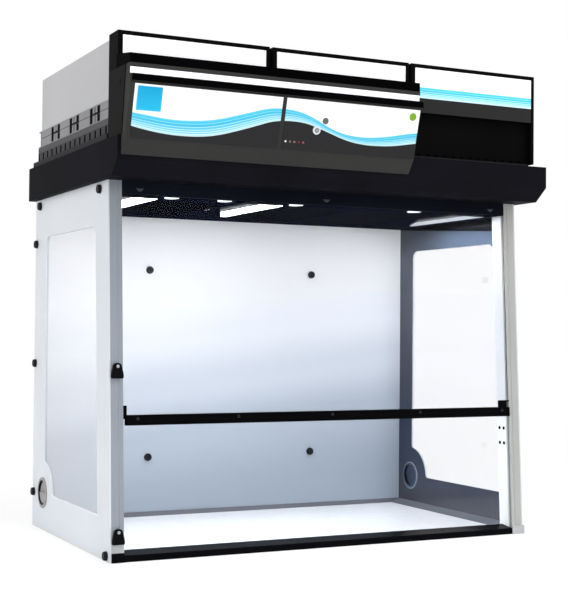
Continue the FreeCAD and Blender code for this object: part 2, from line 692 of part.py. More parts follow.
def rear_panel():
    """The outer rear panel with the bosses that carry the back panel."""
    y0 = ENCLOSURE_D - REAR_PANEL_T
    plate = box(-SKIN_IN, SKIN_IN, y0, ENCLOSURE_D, 0, ENCLOSURE_H)
    boss_y = BACK_PANEL_Y + BACK_PANEL_T
    bosses = [rod(Vector(x, boss_y, z), Vector(0, 1, 0), BOSS_R, y0 - boss_y) for x, z in back_knob_spots()]
    drills = [rod(Vector(x, boss_y - 1, z), Vector(0, 1, 0), STUD_HOLE_R, STUD_L + 2)
              for x, z in back_knob_spots()]
    return cut_all(plate.fuse(bosses), drills)


def rear_post():
    """The left rear corner post between the back panel and the rear panel."""
    y0 = BACK_PANEL_Y + BACK_PANEL_T + CLEAR
    y1 = ENCLOSURE_D - REAR_PANEL_T
    post = box(-INNER_X, -INNER_X + REAR_POST_W, y0, y1, FLOOR_T, ENCLOSURE_H)
    return cut_all(post, side_stud_holes())


def knob(spot, axis):
    """A tapered, fluted thumb knob with its stud; axis points out of the face that it sits on."""
    head = Part.makeCone(KNOB_R, KNOB_FACE_R, KNOB_H, spot, axis)
    rim = [edge for edge in head.Edges if edge.Closed and (edge.CenterOfMass - spot).dot(axis) > KNOB_H / 2]
    head = head.makeFillet(KNOB_EDGE_R, rim)
    across = Vector(0, 0, 1)
    side = axis.cross(across)
    flutes = []
    for turn in range(KNOB_FLUTES):
        angle = 2 * math.pi * (turn + 0.5) / KNOB_FLUTES
        reach = KNOB_R + KNOB_FLUTE_R * 0.4
        middle = spot + across * (reach * math.cos(angle)) + side * (reach * math.sin(angle))
        flutes.append(rod(middle - axis, axis, KNOB_FLUTE_R, KNOB_H + 2))
    head = head.cut(flutes)
    return head.fuse(rod(spot, -axis, STUD_R, STUD_L)).removeSplitter()


def ceiling():
    """The dark ceiling pan with its three intake openings."""
    front = lean(ENCLOSURE_H) + REBATE_END + CLEAR
    rear = BACK_PANEL_Y + BACK_PANEL_T
    outer = box(-INNER_X, INNER_X, front, rear, CEILING_Z, ENCLOSURE_H)
    wall = CEILING_FLANGE_T
    inner = box(-INNER_X + wall, INNER_X - wall, front + wall, rear - wall, CEILING_Z + CEILING_T,
                ENCLOSURE_H + 1)
    intakes = [box(x - INTAKE_W / 2, x + INTAKE_W / 2, INTAKE_FRONT_Y, INTAKE_REAR_Y,
                   CEILING_Z - 1, CEILING_Z + CEILING_T + 1) for x in INTAKE_X]
    studs = side_stud_holes()
    return cut_all(outer, [inner] + intakes + studs + [other_side(stud) for stud in studs])


def prefilter(x):
    """A prefilter mat lying over one intake opening."""
    z = CEILING_Z + CEILING_T
    return box(x - INTAKE_W / 2 - MAT_LAP, x + INTAKE_W / 2 + MAT_LAP, INTAKE_FRONT_Y - MAT_LAP,
               INTAKE_REAR_Y + MAT_LAP, z, z + MAT_T)


def lamp(x):
    """A flat lamp under the ceiling: its rear end is cut on a slant and its rear corners are rounded."""
    left = x - LAMP_W / 2
    right = x + LAMP_W / 2
    rear = LAMP_FRONT_Y + LAMP_L
    low = CEILING_Z - LAMP_H
    corners = [(left, LAMP_FRONT_Y), (right, LAMP_FRONT_Y), (right, rear), (left, rear - LAMP_SLANT)]
    outline = Part.makePolygon([Vector(px, py, low) for px, py in corners + corners[:1]])
    solid = Part.Face(outline).extrude(Vector(0, 0, LAMP_H))
    back_edges = [edge for edge in solid.Edges
                  if abs(edge.Vertexes[0].Point.z - edge.Vertexes[1].Point.z) > 1
                  and edge.Vertexes[0].Point.y > LAMP_FRONT_Y + 1]
    return solid.makeFillet(LAMP_CORNER_R, back_edges)


def screw(spot, axis):
    """A pan-head screw; axis points out of the face."""
    head = rod(spot, axis, SCREW_HEAD_R, SCREW_HEAD_H)
    rim = [edge for edge in head.Edges if edge.Closed
           and (edge.CenterOfMass - spot).dot(axis) > SCREW_HEAD_H / 2]
    head = head.makeFillet(SCREW_HEAD_H * 0.6, rim)
    return head.fuse(rod(spot, -axis, SCREW_R, SCREW_L))


def screw_hole(spot, axis):
    """The clearance hole for a screw."""
    return rod(spot + axis, -axis, SCREW_HOLE_R, SCREW_L + 2)


def header_rail():
    """The dark rail across the top of the opening."""
    reach = POST_IN - CLEAR
    return leaning_box(-reach, reach, 0, HEADER_D, ENCLOSURE_H - HEADER_H, ENCLOSURE_H)


def header_clips():
    """The three small wedge-shaped clips on the header rail's face."""
    reach = POST_IN - CLIP_INSET
    z = ENCLOSURE_H - CLIP_TOP_DROP
    clips = []
    for x in (-reach, 0.0, reach):
        corners = [(x - CLIP_TOP_W / 2, 0), (x + CLIP_TOP_W / 2, 0), (x + CLIP_LOW_W / 2, CLIP_H),
                   (x - CLIP_LOW_W / 2, CLIP_H)]
        loop = [on_front(across, 0, z) - UP_THE_FRONT * down for across, down in corners]
        clips.append(Part.Face(Part.makePolygon(loop + loop[:1])).extrude(OUT_OF_FRONT * CLIP_T))
    return clips


def fixed_pane():
    """The clear pane that closes the upper part of the front."""
    reach = POST_IN + REBATE_DEPTH - CLEAR
    top = ENCLOSURE_H - HEADER_H + FIXED_PANE_LAP
    return leaning_box(-reach, reach, FIXED_PANE_START, FIXED_PANE_END, FIXED_PANE_BOTTOM, top)


def sash_pane_span():
    """Offsets of the sliding pane's two faces, centred in the groove."""
    middle = SASH_GROOVE_START + SASH_GROOVE_W / 2
    return middle - SASH_PANE_T / 2, middle + SASH_PANE_T / 2


def sash_pane():
    """The sliding pane."""
    reach = POST_IN + SASH_GROOVE_DEPTH - SASH_SIDE_CLEAR
    front, back = sash_pane_span()
    return leaning_box(-reach, reach, front, back, SASH_BOTTOM + BAR_FLOOR_T, SASH_TOP)


def pane_slot(x0, x1, z1):
    """The slot that lets a bar or a shoe sit over the sliding pane's lower edge."""
    front, back = sash_pane_span()
    return leaning_box(x0 - 1, x1 + 1, front, back, SASH_BOTTOM + BAR_FLOOR_T, z1 + 1)


def bar_screw_spots():
    """Places of the screws on the handle bar's face."""
    first = BAR_LEFT_X + BAR_SCREW_INSET
    step = (BAR_RIGHT_X - BAR_SCREW_INSET - first) / (BAR_SCREWS - 1)
    z = SASH_BOTTOM + BAR_SCREW_UP
    return [on_front(first + step * number, BAR_FRONT, z) for number in range(BAR_SCREWS)]


def handle_bar():
    """The black handle bar clamped on the sliding pane's lower edge."""
    top = SASH_BOTTOM + BAR_H
    bar = leaning_box(BAR_LEFT_X, BAR_RIGHT_X, BAR_FRONT, BAR_BACK, SASH_BOTTOM, top)
    front_edges = [edge for edge in bar.Edges if along_x(edge)
                   and edge.Vertexes[0].Point.y - lean(edge.Vertexes[0].Point.z) < BAR_FRONT + 1]
    bar = bar.makeFillet(BAR_EDGE_R, front_edges)
    return cut_all(bar, [pane_slot(BAR_LEFT_X, BAR_RIGHT_X, top)]
                   + [screw_hole(spot, OUT_OF_FRONT) for spot in bar_screw_spots()])


def sash_shoes():
    """The clip at the left end of the bar and the notched block on it at the right."""
    left_x0 = -POST_IN + BAR_RIGHT_GAP
    left_z0, left_z1 = SASH_BOTTOM, SASH_BOTTOM + LEFT_SHOE_HIGH
    left = leaning_box(left_x0, BAR_LEFT_X, SHOE_FRONT, SHOE_BACK, left_z0, left_z1)
    notch = leaning_box(left_x0 - 1, BAR_LEFT_X - 3, SHOE_FRONT - 1, SHOE_BACK + 1, left_z0 - 1,
                        left_z0 + LEFT_SHOE_LOW)
    left = cut_all(left, [pane_slot(left_x0, BAR_LEFT_X, left_z1), notch])
    z0 = SASH_BOTTOM + BAR_H
    z1 = z0 + RIGHT_SHOE_H
    pane_front = sash_pane_span()[0]
    right = leaning_box(BAR_RIGHT_X - RIGHT_SHOE_L, BAR_RIGHT_X, RIGHT_SHOE_FRONT, pane_front, z0, z1)
    notch = leaning_box(BAR_RIGHT_X - RIGHT_SHOE_NOTCH, BAR_RIGHT_X + 1, RIGHT_SHOE_FRONT - 1, pane_front + 1,
                        z0 - 1, z1 - RIGHT_SHOE_ARM)
    return [left, right.cut(notch)]


def catch(z):
    """A dome-shaped catch hanging from its screw on the left post."""
    x = -HALF_W + CATCH_X_INSET
    pivot = on_front(x, -RIDGE_H - CATCH_GAP, z)
    across = Vector(1, 0, 0)
    foot = -CATCH_DROP
    right = [Vector(CATCH_HALF_W * 0.55, CATCH_TOP_R * 0.62), Vector(CATCH_HALF_W * 0.74, foot * 0.13),
             Vector(CATCH_HALF_W * 0.92, foot * 0.5), Vector(CATCH_HALF_W, foot + 4)]
    crown = Vector(0, CATCH_TOP_R)
    left = [Vector(-spot.x, spot.y) for spot in reversed(right)]

    def place(spot):
        return pivot + across * spot.x + UP_THE_FRONT * spot.y

    dome = Part.BSplineCurve()
    dome.interpolate([place(spot) for spot in left + [crown] + right])
    rest = [place(right[-1]), place(Vector(CATCH_HALF_W - 2, foot)), place(Vector(2 - CATCH_HALF_W, foot)),
            place(left[0])]
    edges = [dome.toShape()] + [Part.makeLine(a, b) for a, b in zip(rest, rest[1:])]
    solid = Part.Face(Part.Wire(edges)).extrude(OUT_OF_FRONT * CATCH_T)
    hole = rod(pivot - OUT_OF_FRONT, OUT_OF_FRONT, STUD_R + RUN_FIT, CATCH_T + 2)
    return solid.cut(hole)


def catch_pivot(z):
    """The screw that a catch turns on: head, shank and the end in the post."""
    x = -HALF_W + CATCH_X_INSET
    face = on_front(x, -RIDGE_H - CATCH_GAP, z) + OUT_OF_FRONT * (CATCH_T + CATCH_GAP)
    head = rod(face, OUT_OF_FRONT, SCREW_HEAD_R, SCREW_HEAD_H)
    rim = [edge for edge in head.Edges if edge.Closed
           and (edge.CenterOfMass - face).dot(OUT_OF_FRONT) > SCREW_HEAD_H / 2]
    head = head.makeFillet(SCREW_HEAD_H * 0.6, rim)
    return head.fuse(rod(face, -OUT_OF_FRONT, STUD_R, catch_shank()))


def catch_shank():
    """Length of a catch screw's shank, from under its head to its end in the post."""
    return CATCH_T + CATCH_GAP * 2 + RIDGE_H + SASH_GROOVE_START - 1


def catch_drill(z):
    """The post's hole for a catch screw."""
    x = -HALF_W + CATCH_X_INSET
    start = on_front(x, -RIDGE_H - 1, z)
    return rod(start, -OUT_OF_FRONT, STUD_HOLE_R, SASH_GROOVE_START + RIDGE_H + 0.4)


def plinth():
    """The black sheet-metal plinth with its chamfered front and its air openings."""
    half = HALF_W + PLINTH_OVERHANG
    front, rear = PLINTH_FRONT_Y, PLINTH_REAR_Y
    low, high = ENCLOSURE_H, PLINTH_TOP
    wall = PLINTH_WALL
    outer = slab_x([(front, low + PLINTH_CHAMFER_H), (front, high), (rear, high), (rear, low),
                    (front + PLINTH_CHAMFER_D, low)], -half, half)
    slope = math.hypot(PLINTH_CHAMFER_D, PLINTH_CHAMFER_H)
    kick = wall * (slope - PLINTH_CHAMFER_D) / PLINTH_CHAMFER_H
    shift = wall * (slope - PLINTH_CHAMFER_H) / PLINTH_CHAMFER_D
    inner = slab_x([(front + wall, low + PLINTH_CHAMFER_H + shift), (front + wall, high - wall),
                    (rear - wall, high - wall), (rear - wall, low + wall),
                    (front + PLINTH_CHAMFER_D + kick, low + wall)], -half + wall, half - wall)
    reach = INNER_X - PLINTH_OPENING_INSET
    below = box(-reach, reach, DUCT_FRONT_Y, DUCT_REAR_Y, low - 1, low + wall + 1)
    above = [box(x - DUCT_W / 2, x + DUCT_W / 2, DUCT_FRONT_Y, DUCT_REAR_Y, high - wall - 1, high + 1)
             for x in column_centres()]
    socket = box(INLET_X - SOCKET_W / 2 - SOCKET_WALL - CLEAR, INLET_X + SOCKET_W / 2 + SOCKET_WALL + CLEAR,
                 rear - wall - 1, rear + 1, inlet_z() - SOCKET_H / 2 - SOCKET_WALL - CLEAR,
                 inlet_z() + SOCKET_H / 2 + SOCKET_WALL + CLEAR)
    return cut_all(outer, [inner, below, socket] + above)


def inlet_z():
    """Height of the mains inlet's middle."""
    return ENCLOSURE_H + PLINTH_H / 2


def power_inlet():
    """The mains inlet: flange, socket and three pins."""
    rear = PLINTH_REAR_Y
    z = inlet_z()
    flange = box(INLET_X - INLET_FLANGE_W / 2, INLET_X + INLET_FLANGE_W / 2, rear, rear + INLET_FLANGE_T,
                 z - INLET_FLANGE_H / 2, z + INLET_FLANGE_H / 2)
    depth = SOCKET_D + SOCKET_WALL
    body = box(INLET_X - SOCKET_W / 2 - SOCKET_WALL, INLET_X + SOCKET_W / 2 + SOCKET_WALL,
               rear + INLET_FLANGE_T - depth, rear + INLET_FLANGE_T,
               z - SOCKET_H / 2 - SOCKET_WALL, z + SOCKET_H / 2 + SOCKET_WALL)
    hollow = box(INLET_X - SOCKET_W / 2, INLET_X + SOCKET_W / 2, rear + INLET_FLANGE_T - SOCKET_D,
                 rear + INLET_FLANGE_T + 1, z - SOCKET_H / 2, z + SOCKET_H / 2)
    solid = flange.fuse(body).cut(hollow)
    floor_y = rear + INLET_FLANGE_T - SOCKET_D
    pins = []
    for step in (-1, 0, 1):
        pin_z = z + (2.5 if step == 0 else -2.0)
        start = Vector(INLET_X + step * SOCKET_PIN_SPACING, floor_y - 1, pin_z)
        pins.append(rod(start, Vector(0, 1, 0), SOCKET_PIN_R, SOCKET_PIN_L + 1))
    return solid.fuse(pins).removeSplitter()


def column_centres():
    """X of each column's middle, from the left."""
    return [(number - (COLUMNS - 1) / 2) * COLUMN_PITCH for number in range(COLUMNS)]


def filter_base(x):
    """The ribbed base of a column, with its flange and the duct through it."""
    flange = box(x - FLANGE_W / 2, x + FLANGE_W / 2, STACK_FRONT_Y, ENCLOSURE_D, PLINTH_TOP, BASE_Z)
    lip = box(x - FLANGE_LIP_W / 2, x + FLANGE_LIP_W / 2, FLANGE_LIP_FRONT_Y, STACK_FRONT_Y,
              PLINTH_TOP, FRAME_BOTTOM)
    body = box(x - BASE_W / 2, x + BASE_W / 2, STACK_FRONT_Y, BASE_REAR_Y, BASE_Z, CASE_Z)
    duct = box(x - DUCT_W / 2, x + DUCT_W / 2, DUCT_FRONT_Y, DUCT_REAR_Y, PLINTH_TOP - 1, CASE_Z + 1)
    low = BASE_Z + RIB_RISE
    slots = []
    for number in range(RIB_SLOTS):
        y = RIB_FIRST_Y + number * RIB_PITCH
        for side in (-1, 1):
            edge = x + side * BASE_W / 2
            slots.append(box(edge - RIB_SLOT_DEPTH, edge + RIB_SLOT_DEPTH, y - RIB_SLOT_W / 2,
                             y + RIB_SLOT_W / 2, low, low + RIB_SLOT_H))
    return cut_all(flange.fuse([lip, body]), [duct] + slots).removeSplitter()


def filter_case(x):
    """The grey filter case with its split line and clamp slots on both sides."""
    half = CASE_W / 2
    case = box(x - half, x + half, STACK_FRONT_Y, CASE_REAR_Y, CASE_Z, FAN_BOX_Z)
    core = box(x - half + CASE_WALL, x + half - CASE_WALL, STACK_FRONT_Y + CASE_WALL,
               CASE_REAR_Y - CASE_WALL, CASE_Z - 1, FAN_BOX_Z + 1)
    low = CASE_Z + CASE_SPLIT - CASE_SPLIT_W / 2
    band = box(x - half - 1, x + half + 1, STACK_FRONT_Y - 1, CASE_REAR_Y + 1, low, low + CASE_SPLIT_W)
    keep = box(x - half + CASE_SPLIT_DEPTH, x + half - CASE_SPLIT_DEPTH, STACK_FRONT_Y + CASE_SPLIT_DEPTH,
               CASE_REAR_Y - CASE_SPLIT_DEPTH, low - 1, low + CASE_SPLIT_W + 1)
    split = CASE_Z + CASE_SPLIT
    slots = []
    for side in (-1, 1):
        near = x + side * half - CLAMP_SLOT_DEPTH
        far = near + CLAMP_SLOT_DEPTH * 2
        for middle in CLAMP_Y:
            for shift, width in CLAMP_SLOTS:
                y = middle + shift
                slots.append(box(near, far, y - width / 2, y + width / 2, CASE_Z + CLAMP_SLOT_MARGIN,
                                 FAN_BOX_Z - CLAMP_SLOT_MARGIN))
            slots.append(box(near, far, middle - CLAMP_BRIDGE_W / 2, middle + CLAMP_BRIDGE_W / 2,
                             split - CLAMP_BRIDGE_H / 2, split + CLAMP_BRIDGE_H / 2))
        slots.append(box(near, far, CASE_REAR_Y - CORNER_SLOT_W, CASE_REAR_Y + 1, CASE_Z + CLAMP_SLOT_MARGIN,
                         FAN_BOX_Z - CLAMP_SLOT_MARGIN))
    return cut_all(case, [core, band.cut(keep)] + slots)


def carbon_filter(x):
    """The carbon filter that fills a case and rests on the base."""
    half = CASE_W / 2 - CASE_WALL - CLEAR
    return box(x - half, x + half, STACK_FRONT_Y + CASE_WALL + CLEAR, CASE_REAR_Y - CASE_WALL - CLEAR,
               CASE_Z, FAN_BOX_Z)


def fan_box(x):
    """The sheet-metal fan box with its inlet ring."""
    half = FAN_BOX_W / 2
    wall = FAN_BOX_WALL
    outer = box(x - half, x + half, STACK_FRONT_Y, FAN_BOX_REAR_Y, FAN_BOX_Z, FAN_BOX_TOP)
    inner = box(x - half + wall, x + half - wall, STACK_FRONT_Y + wall, FAN_BOX_REAR_Y - wall,
                FAN_BOX_Z + wall, FAN_BOX_TOP + 1)
    shell = outer.cut(inner)
    floor = Vector(x, COLUMN_MID_Y, FAN_BOX_Z)
    ring = rod(floor, Vector(0, 0, 1), INLET_R + INLET_WALL, INLET_RISE)
    hole = rod(floor - Vector(0, 0, 1), Vector(0, 0, 1), INLET_R, INLET_RISE + 2)
    return shell.fuse(ring).cut(hole)


def exhaust_grille(x):
    """The slotted plate in the top of a fan box."""
    half = FAN_BOX_W / 2 - FAN_BOX_WALL - CLEAR
    front = STACK_FRONT_Y + FAN_BOX_WALL + CLEAR
    rear = FAN_BOX_REAR_Y - FAN_BOX_WALL - CLEAR
    plate = box(x - half, x + half, front, rear, FAN_BOX_TOP - GRILLE_T, FAN_BOX_TOP)
    slots = []
    for number in range(GRILLE_SLOTS):
        y = COLUMN_MID_Y + (number - (GRILLE_SLOTS - 1) / 2) * GRILLE_SLOT_PITCH
        for side in (-1, 1):
            middle = x + side * (BRACKET_W + GRILLE_SLOT_L) / 2
            slots.append(box(middle - GRILLE_SLOT_L / 2, middle + GRILLE_SLOT_L / 2, y - GRILLE_SLOT_W / 2,
                             y + GRILLE_SLOT_W / 2, FAN_BOX_TOP - GRILLE_T - 1, FAN_BOX_TOP + 1))
    return cut_all(plate, slots)


def impeller_low():
    """Height of the impeller's lower ring."""
    return FAN_BOX_Z + INLET_RISE + IMPELLER_RUN_GAP


def motor(x):
    """A fan motor on its cross bracket, with the shaft that carries the impeller."""
    top = FAN_BOX_TOP - GRILLE_T
    reach = FAN_BOX_WALL
    bracket = box(x - BRACKET_W / 2, x + BRACKET_W / 2, STACK_FRONT_Y + reach, FAN_BOX_REAR_Y - reach,
                  top - BRACKET_T, top)
    bottom = impeller_low() + IMPELLER_H + IMPELLER_RUN_GAP
    can = rod(Vector(x, COLUMN_MID_Y, bottom), Vector(0, 0, 1), MOTOR_R, top - BRACKET_T - bottom)
    shaft_z = impeller_low()
    shaft = rod(Vector(x, COLUMN_MID_Y, shaft_z), Vector(0, 0, 1), SHAFT_R, bottom - shaft_z)
    return bracket.fuse([can, shaft]).removeSplitter()


def impeller(x):
    """A backward-curved centrifugal impeller."""
    low = impeller_low()
    up = Vector(0, 0, 1)
    centre = Vector(x, COLUMN_MID_Y, low)
    top_plate_z = IMPELLER_H - IMPELLER_PLATE_T
    plate = rod(centre + up * top_plate_z, up, IMPELLER_R, IMPELLER_PLATE_T)
    ring = rod(centre, up, IMPELLER_R, IMPELLER_PLATE_T).cut(
        rod(centre - up, up, IMPELLER_EYE_R, IMPELLER_PLATE_T + 2))
    hub = rod(centre + up * (IMPELLER_H / 2), up, IMPELLER_HUB_R, IMPELLER_H / 2)
    blades = [blade(centre, 360.0 * number / BLADES) for number in range(BLADES)]
    solid = plate.fuse([ring, hub] + blades)
    return solid.cut(rod(centre - up, up, SHAFT_R + RUN_FIT, IMPELLER_H + 2))


def blade(centre, turn):
    """One curved blade between the impeller's ring and plate."""
    def arc_points(shift):
        spots = []
        for share in (0.0, 0.5, 1.0):
            radius = BLADE_IN_R + (IMPELLER_R - 1 - BLADE_IN_R) * share
            angle = math.radians(turn + BLADE_SWEEP * share) + shift / radius
            across = Vector(radius * math.cos(angle), radius * math.sin(angle), IMPELLER_PLATE_T / 2)
            spots.append(centre + across)
        return spots

    first = arc_points(-BLADE_T / 2)
    second = arc_points(BLADE_T / 2)
    edges = [Part.Arc(*first).toShape(), Part.makeLine(first[2], second[2]),
             Part.Arc(second[2], second[1], second[0]).toShape(), Part.makeLine(second[0], first[0])]
    return Part.Face(Part.Wire(edges)).extrude(Vector(0, 0, IMPELLER_H - IMPELLER_PLATE_T))


def frame_opening(x):
    """Left and right of the opening in a front frame."""
    return x - FRAME_W / 2 + FRAME_LEFT_BORDER, x + FRAME_W / 2 - FRAME_RIGHT_BORDER


def front_frame(x):
    """The black frame before a column: a hollow hood with an opening and a recessed lower part."""
    half = FRAME_W / 2
    skin = FRAME_SKIN
    outer = box(x - half, x + half, FRAME_FRONT_Y, STACK_FRONT_Y, FRAME_BOTTOM, FRAME_TOP)
    inner = box(x - half + skin, x + half - skin, FRAME_FRONT_Y + skin, STACK_FRONT_Y + 1,
                FRAME_BOTTOM - 1, FRAME_TOP - skin)
    left, right = frame_opening(x)
    opening = box(left, right, FRAME_FRONT_Y - 1, FRAME_FRONT_Y + skin + 1, FRAME_BOTTOM - 1, PANEL_TOP)
    reach = half - skin
    back = box(x - reach, x + reach, RECESS_BACK_Y, RECESS_BACK_Y + skin, FRAME_BOTTOM, PANEL_BOTTOM)
    shelf = box(x - half + skin, x + half - skin, FRAME_FRONT_Y + skin, RECESS_BACK_Y + skin,
                PANEL_BOTTOM - skin, PANEL_BOTTOM)
    notches = []
    for number in range(RECESS_SLOTS):
        middle = x + (number - (RECESS_SLOTS - 1) / 2) * RECESS_SLOT_PITCH
        notches.append(box(middle - RECESS_SLOT_W / 2, middle + RECESS_SLOT_W / 2, RECESS_BACK_Y - 1,
                           RECESS_BACK_Y + skin + 1, FRAME_BOTTOM - 1, FRAME_BOTTOM + RECESS_SLOT_H))
    shell = cut_all(outer, [inner, opening])
    return shell.fuse([back.cut(notches), shelf]).removeSplitter()


def front_panel(x):
    """The printed plate in the upper part of a front frame."""
    left, right = frame_opening(x)
    back = FRAME_FRONT_Y + FRAME_SKIN
    return box(left + CLEAR, right - CLEAR, back - PANEL_T, back, PANEL_BOTTOM - FRAME_SKIN, PANEL_TOP - CLEAR)


def fascia_shell():
    """The grey fascia body: a hollow casing whose face slopes back downwards."""
    lip, back = LIP_FRONT_Y, FRAME_FRONT_Y - CLEAR
    rail_back = lip + RAIL_SEAT
    clear_front = PLINTH_FRONT_Y - CLEAR * 2
    foot_z = PLINTH_TOP + CLEAR * 2
    outer = [(lip, FASCIA_TOP_Z), (lip, LIGHT_TOP_Z), (LIGHT_BACK_Y, LIGHT_TOP_Z),
             (LIGHT_BACK_Y, LIGHT_BOTTOM_Z),
             (rail_back, LIGHT_BOTTOM_Z), (rail_back, RAIL_BOTTOM_Z), FASCIA_SLOPE_TOP, FASCIA_SLOPE_END,
             FASCIA_TIP, (clear_front, FASCIA_TIP[1]), (clear_front, foot_z), (back, foot_z),
             (back, FASCIA_TOP_Z)]
    wall = FASCIA_WALL
    inner = [(LIGHT_BACK_Y + wall, FASCIA_TOP_Z - wall), (LIGHT_BACK_Y + wall, RAIL_BOTTOM_Z + wall * 0.7),
             (FASCIA_SLOPE_TOP[0] + wall * 1.2, FASCIA_SLOPE_TOP[1] - wall * 0.5),
             (FASCIA_SLOPE_END[0] + wall, FASCIA_SLOPE_END[1] + wall * 0.4),
             (clear_front - wall * 1.6, FASCIA_TIP[1] + wall * 4.5),
             (clear_front - wall, FASCIA_TIP[1] + wall * 4.5),
             (clear_front - wall, foot_z + wall), (back + 1, foot_z + wall), (back + 1, FASCIA_TOP_Z - wall)]
    shell = slab_x(outer, FASCIA_LEFT_X, FASCIA_RIGHT_X)
    room = slab_x(inner, FASCIA_LEFT_X + wall, FASCIA_RIGHT_X - wall)
    bore = fascia_rod(BUTTON_X, BUTTON_S, BUTTON_R + BUTTON_GAP, -wall * 3, DISPLAY_T + 1)
    return cut_all(shell, [room, bore])


def fascia_axes():
    """The sloping face's start, its direction down and its outward normal."""
    top = Vector(0, *FASCIA_SLOPE_TOP)
    down = (Vector(0, *FASCIA_SLOPE_END) - top).normalize()
    return top, down, Vector(1, 0, 0).cross(down).normalize() * -1


def fascia_point(x, s, height):
    """A point on the sloping face, s down from its upper edge and height above it."""
    top, down, out = fascia_axes()
    return Vector(x, 0, 0) + top + down * s + out * height


def fascia_rod(x, s, radius, low, high):
    """A cylinder square to the sloping face, between two heights above it."""
    return rod(fascia_point(x, s, low), fascia_axes()[2], radius, high - low)


def fascia_plate(x0, x1, s0, s1, low, high):
    """A plate parallel to the sloping face."""
    corners = [(x0, s0), (x1, s0), (x1, s1), (x0, s1)]
    loop = [fascia_point(x, s, low) for x, s in corners]
    return Part.Face(Part.makePolygon(loop + loop[:1])).extrude(fascia_axes()[2] * (high - low))


def display_panel(x0, x1):
    """A printed panel on the sloping face."""
    plate = fascia_plate(x0, x1, DISPLAY_TOP_S, DISPLAY_BOTTOM_S, 0, DISPLAY_T)
    bore = fascia_rod(BUTTON_X, BUTTON_S, BUTTON_R + BUTTON_GAP, -1, DISPLAY_T + 1)
    return plate.cut(bore)


def start_button():
    """The start button: a cap with a stem and a collar behind the fascia."""
    cap = fascia_rod(BUTTON_X, BUTTON_S, BUTTON_R, -BUTTON_STEM, DISPLAY_T + BUTTON_PROUD)
    rim = [edge for edge in cap.Edges if edge.Closed
           and (edge.CenterOfMass - fascia_point(BUTTON_X, BUTTON_S, 0)).dot(fascia_axes()[2]) > 1]
    return cap.makeFillet(BUTTON_EDGE_R, rim)


def badge():
    """The plain square plate on the left panel."""
    return fascia_plate(BADGE_X, BADGE_X + BADGE_W, BADGE_TOP_S, BADGE_TOP_S + BADGE_H,
                        DISPLAY_T, DISPLAY_T + BADGE_T)


def fascia_signals():
    """The button's ring, the sensor, the status lamp and the row of signal lamps."""
    ring = fascia_rod(BUTTON_X, BUTTON_S, BUTTON_RING_R, DISPLAY_T, DISPLAY_T + RING_PROUD)
    ring = ring.cut(fascia_rod(BUTTON_X, BUTTON_S, BUTTON_R + BUTTON_GAP, 0, DISPLAY_T + RING_PROUD + 1))
    lenses = [(SENSOR_X, SENSOR_S, SENSOR_R), (STATUS_X, STATUS_S, STATUS_R)]
    first = FASCIA_LEFT_X + SIGNAL_FIRST_IN
    lenses += [(first + SIGNAL_PITCH * number, SIGNAL_S, SIGNAL_R) for number in range(SIGNALS)]
    return [ring] + [fascia_rod(x, s, radius, DISPLAY_T, DISPLAY_T + LENS_PROUD) for x, s, radius in lenses]


def control_board():
    """The circuit board behind the fascia, with its standoffs and the button's switch."""
    wall = FASCIA_WALL
    switch_top = -BUTTON_STEM - BUTTON_TRAVEL - SWITCH_GAP
    board_high = switch_top - SWITCH_SIZE / 2
    board_low = board_high - BOARD_T
    x0, s0 = BUTTON_X - BOARD_LEFT_OF_BUTTON, BUTTON_S - BOARD_L / 2
    x1, s1 = x0 + BOARD_W, s0 + BOARD_L
    board = fascia_plate(x0, x1, s0, s1, board_low, board_high)
    half = SWITCH_SIZE / 2
    switch = fascia_plate(BUTTON_X - half, BUTTON_X + half, BUTTON_S - half, BUTTON_S + half,
                          board_low, switch_top)
    inset = BOARD_STANDOFF_R * 2
    posts = [fascia_rod(x, s, BOARD_STANDOFF_R, board_low, -wall - CLEAR)
             for x in (x0 + inset, x1 - inset) for s in (s0 + inset, s1 - inset)]
    return board.fuse([switch] + posts).removeSplitter()


def visor():
    """The black visor over the fascia."""
    back = FRAME_FRONT_Y - CLEAR
    return slab_x([(back, VISOR_BACK_Z), (VISOR_FRONT_Y, VISOR_FRONT_Z), (VISOR_FRONT_Y, FASCIA_TOP_Z),
                   (back, FASCIA_TOP_Z)], FASCIA_LEFT_X, FASCIA_RIGHT_X)


def light_bar():
    """The white status light bar under the visor."""
    return box(FASCIA_LEFT_X + LIGHT_END_INSET, FASCIA_RIGHT_X - LIGHT_END_INSET, LIGHT_FRONT_Y, LIGHT_BACK_Y,
               LIGHT_BOTTOM_Z + CLEAR, LIGHT_TOP_Z - CLEAR)


def display_rail():
    """The black rail between the light bar and the panels."""
    back = LIP_FRONT_Y + RAIL_SEAT
    cut = RAIL_CHAMFER
    top = LIGHT_BOTTOM_Z
    points = [(back, top), (RAIL_FRONT_Y + cut, top), (RAIL_FRONT_Y, top - cut),
              (RAIL_FRONT_Y, RAIL_BOTTOM_Z + cut), (RAIL_FRONT_Y + cut, RAIL_BOTTOM_Z), (back, RAIL_BOTTOM_Z)]
    return slab_x(points, FASCIA_LEFT_X + RAIL_LEFT_INSET, FASCIA_RIGHT_X + RAIL_RIGHT_REACH)


